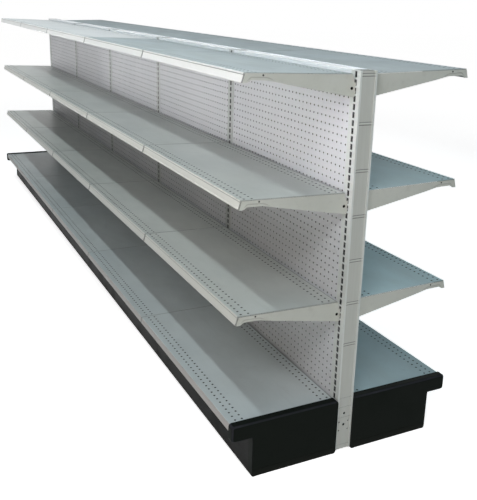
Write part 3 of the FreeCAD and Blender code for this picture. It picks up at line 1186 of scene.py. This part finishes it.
# Side B's shelves: duller, with a blue-green colour lower in red, painted cool light on that side
DULL_COOL_SHADED_SHELF = replace(SHELF, name="dull_shelf_enamel", colour=linear(196, 221, 226),
                     cast=linear(186, 211, 216), roughness=0.5, shine=0.08)
TOP_SHELF = ShelfEnamel("top_shelf_enamel", linear(208, 215, 216), linear(196, 204, 207), pan=SHELF_PAN,
                        roughness=0.5, shine=0.08, scuffs=0.2, dulling=0.2, lip=linear(228, 225, 222),
                        dusting=0.4)
CLEAN_TOP = replace(TOP_SHELF, name="clean_top_enamel", colour=linear(218, 222, 222),
                    cast=linear(208, 214, 215), roughness=0.28, shine=0.25, dusting=0.1)
# The deck's lip is set darker than its pan: painted shade on the low lip
DECK = ShelfEnamel("deck_enamel", linear(220, 226, 227), linear(210, 217, 219), pan=DECK_PAN,
                   soiling=0.18, roughness=0.4, shine=0.25, scuffs=0.1, dulling=0.12,
                   lip=linear(186, 178, 174), step_shade=0.2)
# Side B's decks: duller, darker and tinted blue-green, painted cool shade on that side
DULL_COOL_SHADED_DECK = replace(DECK, name="dull_deck_enamel", colour=linear(184, 206, 211),
                    cast=linear(175, 197, 202), roughness=0.5, shine=0.08)
BRACKET = StampedEnamel("bracket_enamel", linear(212, 212, 206), linear(200, 200, 193), soiling=0.34,
                        roughness=0.46, shine=0.22)
BEAD_SHADE = Enamel("bracket_bead", linear(188, 187, 181), linear(178, 177, 170), soiling=0.4,
                    roughness=0.5)
# Near black, painted shade: floors closing the pans' holes, the key holes and dimples, the hollow behind the
# end webs, the open tops of the end uprights
PAINTED_HOLE_SHADE = Enamel("dark_steel", linear(26, 26, 26), linear(20, 20, 20), roughness=0.8, shine=0.05)
BASE = Enamel("base_steel", linear(120, 122, 122), linear(104, 106, 106), soiling=0.5, roughness=0.5)
COVER = MouldedPlastic("cover_plastic", linear(21, 25, 22), roughness=0.5)
KICK = MouldedPlastic("kick_enamel", linear(20, 21, 21), roughness=0.42)
FOOT = Zinc("foot_zinc")


# Sub-assemblies


@dataclass
class Bracket:
    """A stamped shelf bracket: hook and tab, arched bead, dimple and key hole. Drawn outward and up."""

    run: Run
    gap: float = 0.25
    plate: float = 2.5
    bead_half: float = 2.0
    bead_deep: float = 0.9
    dimple_deep: float = 1.2
    outline: tuple[Corner, ...] = (
        (13.4, 34.4, 1.0), (385.2, 43.4, 1.5), (393.6, 14.7, 1.2), (379.0, 14.7, 1.5), (366.5, 22.9, 8.0),
        (311.5, 21.6, 60.0), (252.5, 9.1, 60.0), (5.0, -37.2, 2.0), (2.0, -34.0, 0.0), (2.0, -23.9, 0.0),
        (-6.0, -23.9, 1.0), (-6.0, -16.5, 1.0), (2.0, -16.5, 0.0), (2.0, 0.0, 0.0), (-7.0, 0.0, 1.5),
        (-7.0, 21.0, 1.5), (-1.0, 21.0, 1.0), (-1.0, 8.7, 0.0), (7.0, 8.7, 0.0),
    )
    bead: tuple[Corner, ...] = (
        (381.0, 18.0, 0.0), (366.0, 31.2, 9.0), (312.0, 29.6, 50.0), (286.0, 19.6, 0.0),
    )
    dimple: Corner = (326.0, 36.4, 3.0)
    dimple_taper: float = 0.7
    key_hole: Corner = (14.5, -9.0, 5.2)
    round_sides: int = 12
    edge_steps: int = 3
    bead_steps: int = 5

    def build(self, draft: Draft, hand: End) -> None:
        """Adds the bracket at one end of a shelf.

        Args:
            draft: Where it goes.
            hand: The shelf's end.
        """
        face_x = hand.value * (self.run.bay / 2 - self.gap)
        back_x = face_x - hand.value * self.plate

        def row(points: Sequence[Point2], x: float) -> list[int]:
            """Corners of an outline at x."""
            return [draft.point(x, -u, w) for u, w in points]

        def fill(loops: Sequence[Sequence[Point2]], numbers: Sequence[Sequence[int]]) -> None:
            """Adds the faces between an outline and its holes.

            Args:
                loops: The outline and the holes.
                numbers: The numbers of their corners.
            """
            flat = [n for loop in numbers for n in loop]
            for triangle in tessellate_polygon([[Vector((u, w, 0.0)) for u, w in loop] for loop in loops]):
                draft.face([flat[i] for i in triangle], BRACKET)

        edge = rounded(self.outline, closed=True, steps=self.edge_steps)
        hole = ring(*self.key_hole, self.round_sides)
        dent = ring(*self.dimple, self.round_sides)
        middle = rounded(self.bead, steps=self.bead_steps)
        left, right = self._bead_sides(middle)
        groove = [middle[0], *left, middle[-1], *right[::-1]]
        front = [row(points, face_x) for points in (edge, hole, dent, groove)]
        rear = [row(points, back_x) for points in (edge, hole)]
        fill((edge, hole, dent, groove), front)
        fill((edge, hole), rear)
        draft.band(front[0], rear[0], BRACKET, closed=True)
        # The key hole ends in floors of painted shade
        draft.pockets(front[1], rear[1], PAINTED_HOLE_SHADE)

        # The dimple's sides and floor are painted shade
        u, w, radius = self.dimple
        bottom = ring(u, w, radius * self.dimple_taper, self.round_sides)
        floor = row(bottom, face_x - hand.value * self.dimple_deep)
        draft.band(front[2], floor, PAINTED_HOLE_SHADE, closed=True)
        draft.face(floor, PAINTED_HOLE_SHADE)

        count = len(left)
        deep = row(middle[1:-1], face_x - hand.value * self.bead_deep)
        start, end = front[3][0], front[3][count + 1]
        upper = front[3][1:count + 1]
        lower = front[3][count + 2:][::-1]
        for side in (upper, lower):
            draft.band(side, deep, BEAD_SHADE)
            draft.face((start, side[0], deep[0]), BEAD_SHADE)
            draft.face((end, side[-1], deep[-1]), BEAD_SHADE)

    def _bead_sides(self, middle: Sequence[Point2]) -> tuple[list[Point2], list[Point2]]:
        """Finds the two edges of the pressed bead.

        Args:
            middle: Its middle line.

        Returns:
            The edges' points, without the tips.
        """
        left, right = [], []
        for before, here, after in zip(middle, middle[1:], middle[2:]):
            along = (Vector(after) - Vector(before)).normalized()
            side = Vector((-along.y, along.x)) * self.bead_half
            left.append(tuple(Vector(here) + side))
            right.append(tuple(Vector(here) - side))
        return left, right


@dataclass
class Shelves:
    """Pressed shelves with their brackets, three levels on each side of every bay."""

    run: Run
    bracket: Bracket
    pan: Pan = SHELF_PAN
    clean_bays: int = 3

    def mesh(self, name: str, finish: ShelfEnamel) -> bpy.types.Mesh:
        """Makes a mesh that shelves share, drawn on side A from the bearing edge of the hooks.

        Args:
            name: Its name.
            finish: Enamel of the pan.

        Returns:
            The mesh.
        """
        draft = Draft(finish)
        # The pan's holes end in floors of painted shade
        self.pan.build(draft, self.run.perforation(), PAINTED_HOLE_SHADE)
        for hand in End:
            self.bracket.build(draft, hand)
        return draft.mesh(name)

    def build(self) -> None:
        """Sets a shelf at every level of every bay."""
        top = self.mesh("pressed_top_shelf", TOP_SHELF)
        clean = self.mesh("pressed_clean_shelf", CLEAN_TOP)
        plain = self.mesh("pressed_shelf", SHELF)
        # Side B gets the copy whose colour paints the cooler light there
        lower = {Side.A: plain, Side.B: self.mesh("pressed_dull_shelf", DULL_COOL_SHADED_SHELF)}
        for side in Side:
            for level in Level:
                for i in range(self.run.bays):
                    polished = side is Side.A and i < self.clean_bays
                    mesh = (clean if polished else top) if level is Level.UPPER else lower[side]
                    node = f"shelf_{side.value}_{level.name.lower()}_{i + 1}"
                    where = self.run.in_bay(i, side, self.run.hook_out, self.run.hook_edge(level))
                    put(mesh, f"pressed_{node}", f"{node}_body", where, [node])


@dataclass
class Decks:
    """Base decks, one on each side of every bay."""

    run: Run
    pan: Pan = DECK_PAN

    def mesh(self, name: str, finish: ShelfEnamel) -> bpy.types.Mesh:
        """Makes a mesh that decks share, drawn on side A.

        Args:
            name: Its name.
            finish: Its enamel.

        Returns:
            The mesh.
        """
        draft = Draft(finish)
        # The deck's holes end in floors of painted shade
        self.pan.build(draft, self.run.perforation(), PAINTED_HOLE_SHADE)
        return draft.mesh(name)

    def build(self) -> None:
        """Sets a deck on each side of every bay."""
        plain = self.mesh("pressed_deck", DECK)
        # Side B gets the copy whose colour paints the cooler shade there
        meshes = {Side.A: plain, Side.B: self.mesh("pressed_dull_deck", DULL_COOL_SHADED_DECK)}
        for side in Side:
            for i in range(self.run.bays):
                node = f"base_deck_{side.value}_{i + 1}"
                where = self.run.in_bay(i, side)
                put(meshes[side], f"pressed_{node}", f"{node}_body", where, [node])


@dataclass
class Boards:
    """Pegboards, one on each side of every bay, with through holes on the slots' pitch."""

    run: Run
    face: float = 28.75
    thick: float = 5.0
    low: float = 110.0
    high: float = 1342.2
    hole: float = 3.35
    hole_sides: int = 6
    first_column: float = 38.1
    rows_from: int = 1
    rows_to: int = 47

    def mesh(self) -> bpy.types.Mesh:
        """Makes the mesh that every board shares, drawn on side A.

        Returns:
            The mesh.
        """
        count = round((self.run.bay - 2 * self.first_column) / self.run.pitch) + 1
        centres = tuple(self.first_column - self.run.bay / 2 + self.run.pitch * k for k in range(count))
        heights = (self.run.top_slot - self.run.pitch * k for k in range(self.rows_from, self.rows_to + 1))
        rows = tuple(HoleRow(self.face, z, centres, self.hole, self.hole_sides) for z in heights)
        half = (self.run.bay - self.run.upright_wide) / 2
        draft = Draft(BOARD)
        BentSheet(((self.face, self.high), (self.face, self.low)), self.thick, half, rows).build(draft)
        return draft.mesh("pegboard")

    def build(self) -> None:
        """Sets a board on each side of every bay."""
        mesh = self.mesh()
        for side in Side:
            for i in range(self.run.bays):
                put(mesh, f"pegboard_{side.value}_{i + 1}", FRAME_BODY, self.run.in_bay(i, side),
                    [f"back_panels_{side.value}"])


@dataclass
class Uprights:
    """Slotted uprights: packed columns, beads and punched holes on the two end webs, lids on top."""

    run: Run
    web: float = 22.9
    web_half: float = 22.0
    bead_count: int = 7
    bead_tall: float = 6.0
    crease_tall: float = 2.0
    bead_proud: float = 1.1
    bead_sunk: float = 0.3
    bead_edge: float = 0.05
    bead_slope: float = 0.3
    full_tall: float = 4.0
    punched: tuple[Corner, ...] = (
        (0.0, 149.4, 5.0), (0.0, 104.2, 5.0),
        (-18.8, 116.0, 3.4), (18.8, 116.0, 3.4), (-18.8, 83.0, 3.4), (18.8, 83.0, 3.4),
    )
    punch_deep: float = 5.0
    punch_sides: int = 14
    hollow_depths: Point2 = (4.6, 5.6)
    hollow_heights: Point2 = (70.0, 162.0)
    lid_top: float = 1345.8
    # Height of the dark plates in the open tops of the end uprights, painted shade inside the tubes
    mouth_shade_top: float = 1345.2
    lid_thick: float = 1.2
    lid_half: Point2 = (20.7, 29.6)
    core_half: float = 5.1

    def web_x(self, end: End, out: float = 0.0) -> float:
        """X of an end web's outer face, or of a place further out."""
        return end.value * (self.run.bay * self.run.bays / 2 + self.web + out)

    def beads(self, end: End) -> None:
        """Adds the pressed beads and creases across an end web.

        Args:
            end: The end of the run.
        """
        draft = Draft(UPRIGHT)
        for k in range(self.bead_count):
            self._bead(draft, end, UPRIGHT.slot_height - UPRIGHT.bead_pitch * k, self.bead_tall)
        for z in UPRIGHT.creases:
            self._bead(draft, end, z, self.crease_tall)
        name = f"web_beads_{end.name.lower()}"
        put(draft.mesh(name), name, FRAME_BODY, Matrix.Identity(4))

    def _bead(self, draft: Draft, end: End, z: float, tall: float) -> None:
        """Adds one bead with sloping sides and ends.

        Args:
            draft: Where it goes.
            end: The end of the run.
            z: Height of its middle.
            tall: Its height.
        """
        proud = self.bead_proud * min(1.0, tall / self.full_tall)
        rows = []
        for inset, lift in ((0.0, -self.bead_sunk), (0.0, self.bead_edge), (tall * self.bead_slope, proud)):
            x = self.web_x(end, lift)
            reach, half = self.web_half - inset, tall / 2 - inset
            corners = ((-reach, -half), (reach, -half), (reach, half), (-reach, half))
            rows.append([draft.point(x, y, z + up) for y, up in corners])
        draft.face(rows[0])
        for first, second in zip(rows, rows[1:]):
            draft.band(first, second, closed=True)
        draft.face(rows[-1])

    def hollows(self) -> None:
        """Adds a dark box behind the punched holes of the end webs: painted shade of the hollow inside."""
        draft = Draft(PAINTED_HOLE_SHADE)
        low, high = self.hollow_heights
        for end in End:
            near, far = sorted(self.web_x(end, -depth) for depth in self.hollow_depths)
            draft.box((near, -self.web_half, low), (far, self.web_half, high))
        put(draft.mesh("web_hollows"), "web_hollows", FRAME_BODY, Matrix.Identity(4))

    def punch(self, end: End, node: str) -> None:
        """Cuts the round holes through an end web.

        Args:
            end: The end of the run.
            node: The upright's node.
        """
        draft = Draft(UPRIGHT)
        for y, z, radius in self.punched:
            outline = ring(y, z, radius, self.punch_sides)
            loops = [[draft.point(self.web_x(end, out), *spot) for spot in outline]
                     for out in (-self.punch_deep, self.punch_deep)]
            draft.band(*loops, closed=True)
            draft.face(loops[0])
            draft.face(loops[1])
        cutter = hang(f"web_punch_{end.name.lower()}", draft.mesh("web_punch"))
        cutter.hide_render = True
        cutter.hide_viewport = True
        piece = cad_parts[node]
        weld(piece)
        cut = piece.modifiers.new("punched_holes", "BOOLEAN")
        cut.operation = "DIFFERENCE"
        cut.solver = "EXACT"
        cut.object = cutter

    def tops(self, name: str, lines: Iterable[int], top: float, finish: Finish) -> None:
        """Adds the flat pieces in the tops of some uprights, on both sides of their core.

        Args:
            name: The piece's name.
            lines: Numbers of the uprights' slot lines.
            top: Height of the upper face.
            finish: The finish.
        """
        draft = Draft(finish)
        wide, deep = self.lid_half
        for line in map(self.run.slot_line, lines):
            for near, far in ((-wide, -self.core_half), (self.core_half, wide)):
                draft.box((line + near, -deep, top - self.lid_thick), (line + far, deep, top))
        put(draft.mesh(name), name, FRAME_BODY, Matrix.Identity(4))

    def build(self) -> None:
        """Dresses the uprights and adds their details."""
        last = self.run.bays + 1
        for end, index in ((End.LEFT, 1), (End.RIGHT, last)):
            self.punch(end, f"upright_{index}")
            self.beads(end)
        for i in range(last):
            dress(f"upright_{i + 1}", UPRIGHT if i in (0, self.run.bays) else INNER_UPRIGHT)
        self.tops("upright_lids", range(1, self.run.bays), self.lid_top, RAIL)
        # Dark plates in the open tops of the end uprights: painted shade inside the tubes
        self.tops("upright_mouths", (0, self.run.bays), self.mouth_shade_top, PAINTED_HOLE_SHADE)
        self.hollows()


@dataclass
class EndCovers:
    """Moulded end covers of the base: a shell with a rounded rim, open at its back and foot."""

    back: float = 2287.75
    face: float = 2317.1
    inner_edge: float = 31.75
    nose: float = 443.0
    top: float = 209.3
    nose_low: float = 147.8
    toe: float = 367.0
    corner: float = 11.0
    foot_corner: float = 9.0
    toe_corner: float = 4.0
    foot_return: float = 16.0
    rim: float = 9.0
    heel: float = 1.6
    wall: float = 3.0
    steps: int = 6
    sharpest: float = 0.5
    nose_play: float = 1.0
    top_play: float = 0.01
    rib_height: float = 25.0
    rib_tall: float = 2.2
    rib_proud: float = 0.6
    rib_sunk: float = 0.3
    rib_inset: float = 4.0
    sharp_angle: float = 35.0

    def chain(self) -> list[Point2]:
        """Draws the cover's outline.

        Returns:
            Its points from the foot of the inner edge to the foot of the toe.
        """
        return rounded([
            (self.inner_edge + self.foot_return, 0.0, 0.0), (self.inner_edge, 0.0, self.foot_corner),
            (self.inner_edge, self.top, self.corner), (self.nose, self.top, self.corner),
            (self.nose, self.nose_low, self.corner), (self.toe, self.nose_low, self.toe_corner),
            (self.toe, 0.0, self.foot_corner), (self.toe - self.foot_return, 0.0, 0.0),
        ], steps=self.steps)

    def inset(self, chain: Sequence[Point2], shares: Sequence[float]) -> list[Point2]:
        """Moves an outline inward.

        Args:
            chain: The outline.
            shares: How far each of its points goes.

        Returns:
            The moved outline.
        """
        moves = zip(chain, bearings([Vector(spot) for spot in chain], self.sharpest), shares)
        return [(u + inward.x * share, w + inward.y * share) for (u, w), (_, inward), share in moves]

    def mesh(self) -> bpy.types.Mesh:
        """Makes the cover at the right end of side A.

        Returns:
            The mesh.
        """
        draft = Draft(COVER)
        chain = self.chain()
        low, inner = self.nose_low - self.nose_play, self.inner_edge + self.corner
        radii = [self.rim if w >= self.top - self.top_play or (w > low and u > inner) else self.heel
                 for u, w in chain]

        def row(points: Sequence[Point2], depths: Sequence[float]) -> list[int]:
            """Corners of an outline, each at its own X."""
            return [draft.point(x, -u, w) for (u, w), x in zip(points, depths)]

        outer = [row(chain, [self.back] * len(chain))]
        for k in range(self.steps + 1):
            angle = math.pi / 2 * k / self.steps
            points = self.inset(chain, [r * (1 - math.cos(angle)) for r in radii])
            outer.append(row(points, [self.face - r * (1 - math.sin(angle)) for r in radii]))
        hollow = self.inset(chain, [self.wall] * len(chain))
        plate = self.face - self.wall - self.rim / 2
        lining = [row(hollow, [x] * len(chain)) for x in (self.back, plate)]
        for skin in (outer, lining):
            for first, second in zip(skin, skin[1:]):
                draft.band(first, second)
        draft.band(outer[0], lining[0])
        draft.face(outer[-1])
        draft.face(lining[-1])
        for foot in (0, -1):
            draft.face([r[foot] for r in outer] + [lining[1][foot], lining[0][foot]])
        draft.face([outer[-1][0], outer[-1][-1], lining[-1][-1], lining[-1][0]])
        half = self.rib_tall / 2
        draft.box((self.face - self.rib_sunk, -self.toe + self.rib_inset, self.rib_height - half),
                  (self.face + self.rib_proud, -self.inner_edge - self.rib_inset, self.rib_height + half))
        made = draft.mesh("end_cover")
        made.shade_smooth()
        made.set_sharp_from_angle(angle=math.radians(self.sharp_angle))
        return made

    def build(self) -> None:
        """Sets the four covers; the mirrored ones have a mesh of their own."""
        mesh = self.mesh()
        other = mesh.copy()
        other.name = "end_cover_mirrored"
        other.transform(Matrix.Scale(-1, 4, Vector((0, 1, 0))))
        other.flip_normals()
        for end in End:
            for side in Side:
                plain = (end is End.RIGHT) == (side is Side.A)
                turn = Matrix.Rotation(0.0 if end is End.RIGHT else math.pi, 4, "Z")
                node = f"end_cover_{end.name.lower()}_{side.value}"
                piece = put(mesh if plain else other, f"moulded_{node}", FRAME_BODY, turn,
                            [node])
                piece.modifiers.new("even_shading", "WEIGHTED_NORMAL").keep_sharp = True


@dataclass
class Steelwork:
    """Rails, kick plates, base brackets and feet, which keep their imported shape."""

    soft_edge: float = 0.6

    def build(self) -> None:
        """Gives each node its finish."""
        dress("top_rails", RAIL, self.soft_edge)
        for node in ("centre_rails", "bottom_rails"):
            dress(node, BASE)
        for side in Side:
            dress(f"kick_plates_{side.value}", KICK, self.soft_edge)
            dress(f"base_brackets_{side.value}", BASE, self.soft_edge)
        dress("levelling_feet", FOOT, self.soft_edge)


# Studio


@dataclass(frozen=True)
class SoftBox:
    """A soft lamp in metres. A narrow one stays out of the gloss, where it would glint."""

    name: str
    place: Corner
    aim: Corner
    wide: float
    tall: float
    watts: float
    colour: Colour = (1.0, 1.0, 1.0)
    spread: float = WIDE

    def light(self) -> None:
        """Hangs the lamp."""
        lamp = bpy.data.lights.new(self.name, "AREA")
        lamp.shape = "RECTANGLE"
        lamp.size, lamp.size_y = self.wide, self.tall
        lamp.energy = self.watts
        lamp.color = self.colour
        lamp.spread = math.radians(self.spread)
        hung = hang(self.name, lamp)
        hung.location = self.place
        hung.visible_camera = False
        hung.visible_glossy = self.spread >= WIDE
        hung.rotation_mode = "QUATERNION"
        hung.rotation_quaternion = (Vector(self.aim) - Vector(self.place)).to_track_quat("-Z", "Y")


@dataclass(frozen=True)
class Viewpoint:
    """The photograph's camera: metres, degrees and pixels of a 477 by 500 frame."""

    place: Corner = (4.1804, -1.3452, 1.542)
    yaw: float = 152.8701
    pitch: float = 16.1265
    roll: float = 1.7791
    focal: float = 727.14
    centre: Point2 = (253.388, 211.307)
    frame_size: Point2 = (477.0, 500.0)
    sensor: float = 36.0
    reach: float = 200.0

    def build(self) -> None:
        """Makes the scene's camera."""
        yaw, pitch, roll = (math.radians(a) for a in (self.yaw, self.pitch, self.roll))
        ahead = Vector((math.cos(yaw) * math.cos(pitch), math.sin(yaw) * math.cos(pitch), -math.sin(pitch)))
        level = Vector((math.sin(yaw), -math.cos(yaw), 0.0))
        upright = level.cross(ahead)
        right = level * math.cos(roll) + upright * math.sin(roll)
        up = upright * math.cos(roll) - level * math.sin(roll)
        wide, tall = self.frame_size
        lens = bpy.data.cameras.new("viewpoint")
        lens.sensor_width = self.sensor
        lens.lens = self.focal * self.sensor / tall
        lens.shift_x = (wide / 2 - self.centre[0]) / tall
        lens.shift_y = (self.centre[1] - tall / 2) / tall
        lens.clip_end = self.reach
        camera = hang("viewpoint", lens)
        turn = Matrix((right, up, -ahead)).transposed().to_4x4()
        camera.matrix_world = Matrix.Translation(Vector(self.place)) @ turn
        bpy.context.scene.camera = camera


@dataclass
class Studio:
    """Pale floor, white surroundings and soft lamps."""

    floor_half: float = 30.0
    floor_colour: Colour = linear(232, 232, 230)
    floor_cast: Colour = linear(226, 226, 224)
    casting: float = 0.25
    glow_near: float = 0.86
    glow_far: float = 0.98
    glow_reach: Point2 = (2.5, 9.0)
    covered: Point2 = (2.3, 0.37)
    cover_fade: float = 0.02
    ambient: float = 0.02
    boxes: tuple[SoftBox, ...] = (
        SoftBox("front_band", (1.4, -2.4, 1.48), (1.4, 0.0, 1.13), 4.2, 0.42, 2.4, spread=9.0),
        SoftBox("far_band", (-2.1, -2.4, 1.48), (-2.1, 0.0, 1.13), 2.8, 0.42, 1.06, spread=9.0),
        SoftBox("tube", (0.2, -0.93, 2.12), (0.2, -0.36, 0.2), 7.0, 0.07, 22.0, (0.85, 0.95, 0.97)),
        SoftBox("overhead", (0.0, 0.0, 4.2), (0.0, 0.0, 0.0), 6.5, 1.4, 34.0, (0.66, 0.88, 1.0)),
        SoftBox("end_front", (5.6, -2.4, 1.1), (2.0, -0.1, 0.6), 1.6, 1.4, 36.5, (1.0, 0.91, 0.79)),
        SoftBox("end_high", (4.0, -2.1, 2.9), (2.0, -0.2, 0.4), 1.6, 1.0, 33.0, (0.96, 0.98, 1.0)),
        SoftBox("end", (6.2, 1.7, 1.8), (2.3, 0.1, 0.6), 1.8, 2.2, 8.0, (0.4, 0.8, 1.0)),
        SoftBox("side_b", (3.2, 1.6, 2.6), (2.0, 0.25, 0.5), 1.4, 0.8, 5.0, (0.6, 0.9, 1.0)),
        SoftBox("back_fill", (-0.6, 4.0, 1.9), (-0.6, 0.0, 0.7), 6.0, 1.4, 15.0, (0.9, 0.97, 1.0)),
        SoftBox("back_wall", (0.0, 3.2, 0.72), (0.0, 0.0, 0.72), 6.0, 1.4, 11.0, spread=16.0),
        SoftBox("far_end", (-5.4, 0.0, 0.72), (-2.3, 0.0, 0.72), 1.0, 1.5, 1.7, spread=5.0),
    )

    def seen(self, nodes: Nodes) -> Socket:
        """Marks rays that show the surroundings: to the camera, by reflection or through glass.

        Args:
            nodes: The tree.

        Returns:
            1 for those rays.
        """
        path = nodes.add("ShaderNodeLightPath").socket.node
        names = ("Is Camera Ray", "Is Glossy Ray", "Is Transmission Ray")
        camera, glossy, through = (Socket(nodes, path.outputs[name]) for name in names)
        return camera.either(glossy).either(through)

    def floor_finish(self) -> bpy.types.Material:
        """Makes the floor's material: matt, with a glow that shows near white except under the run.

        Returns:
            The material.
        """
        made = bpy.data.materials.new("studio_floor")
        made.use_nodes = True
        nodes = Nodes(made.node_tree)
        tint = nodes.blend(nodes.patches(FLOOR_GRAIN) * self.casting, self.floor_colour, self.floor_cast)
        matt = nodes.add("ShaderNodeBsdfDiffuse", {}, {"Color": tint})
        away = nodes.add("ShaderNodeVectorMath", {"operation": "LENGTH"}, {0: nodes.place}, output="Value")
        near, far = ((level, level, level) for level in (self.glow_near, self.glow_far))
        along, across = (abs(part).rise(half, half - self.cover_fade)
                         for part, half in zip(nodes.spot, self.covered))
        under = along * across
        lit = nodes.blend(under, nodes.blend(away.rise(*self.glow_reach), near, far), (0.0, 0.0, 0.0))
        glow = nodes.add("ShaderNodeEmission", {}, {"Color": lit})
        bright = nodes.add("ShaderNodeAddShader", {}, {0: matt, 1: glow})
        shown = nodes.add("ShaderNodeMixShader", {}, {0: self.seen(nodes), 1: matt, 2: bright})
        nodes.add("ShaderNodeOutputMaterial", {}, {"Surface": shown})
        return made

    def floor(self) -> None:
        """Lays the floor, which keeps the run's shadow."""
        half = self.floor_half
        corners = ((-half, -half, 0.0), (half, -half, 0.0), (half, half, 0.0), (-half, half, 0.0))
        mesh = bpy.data.meshes.new("studio_floor")
        mesh.from_pydata(corners, [], [range(len(corners))])
        mesh.materials.append(self.floor_finish())
        laid = hang("studio_floor", mesh)

    def surroundings(self) -> None:
        """White where it is seen, a soft even light elsewhere."""
        world = bpy.data.worlds.new("studio_white")
        bpy.context.scene.world = world
        world.use_nodes = True
        nodes = Nodes(world.node_tree)
        strength = self.ambient + self.seen(nodes) * (1.0 - self.ambient)
        glow = nodes.add("ShaderNodeBackground", {}, {"Color": (1.0, 1.0, 1.0), "Strength": strength})
        nodes.add("ShaderNodeOutputWorld", {}, {"Surface": glow})

    def build(self) -> None:
        """Sets up the studio."""
        bpy.context.scene.view_settings.view_transform = "Standard"
        self.floor()
        self.surroundings()
        for box in self.boxes:
            box.light()


def main() -> None:
    """Builds every sub-assembly in order."""
    logging.basicConfig(level=logging.INFO, format="%(name)s: %(message)s")
    run = Run()
    Viewpoint().build()
    Studio().build()
    Uprights(run).build()
    Boards(run).build()
    Shelves(run, Bracket(run)).build()
    Decks(run).build()
    EndCovers().build()
    Steelwork().build()


if __name__ == "__main__":
    main()
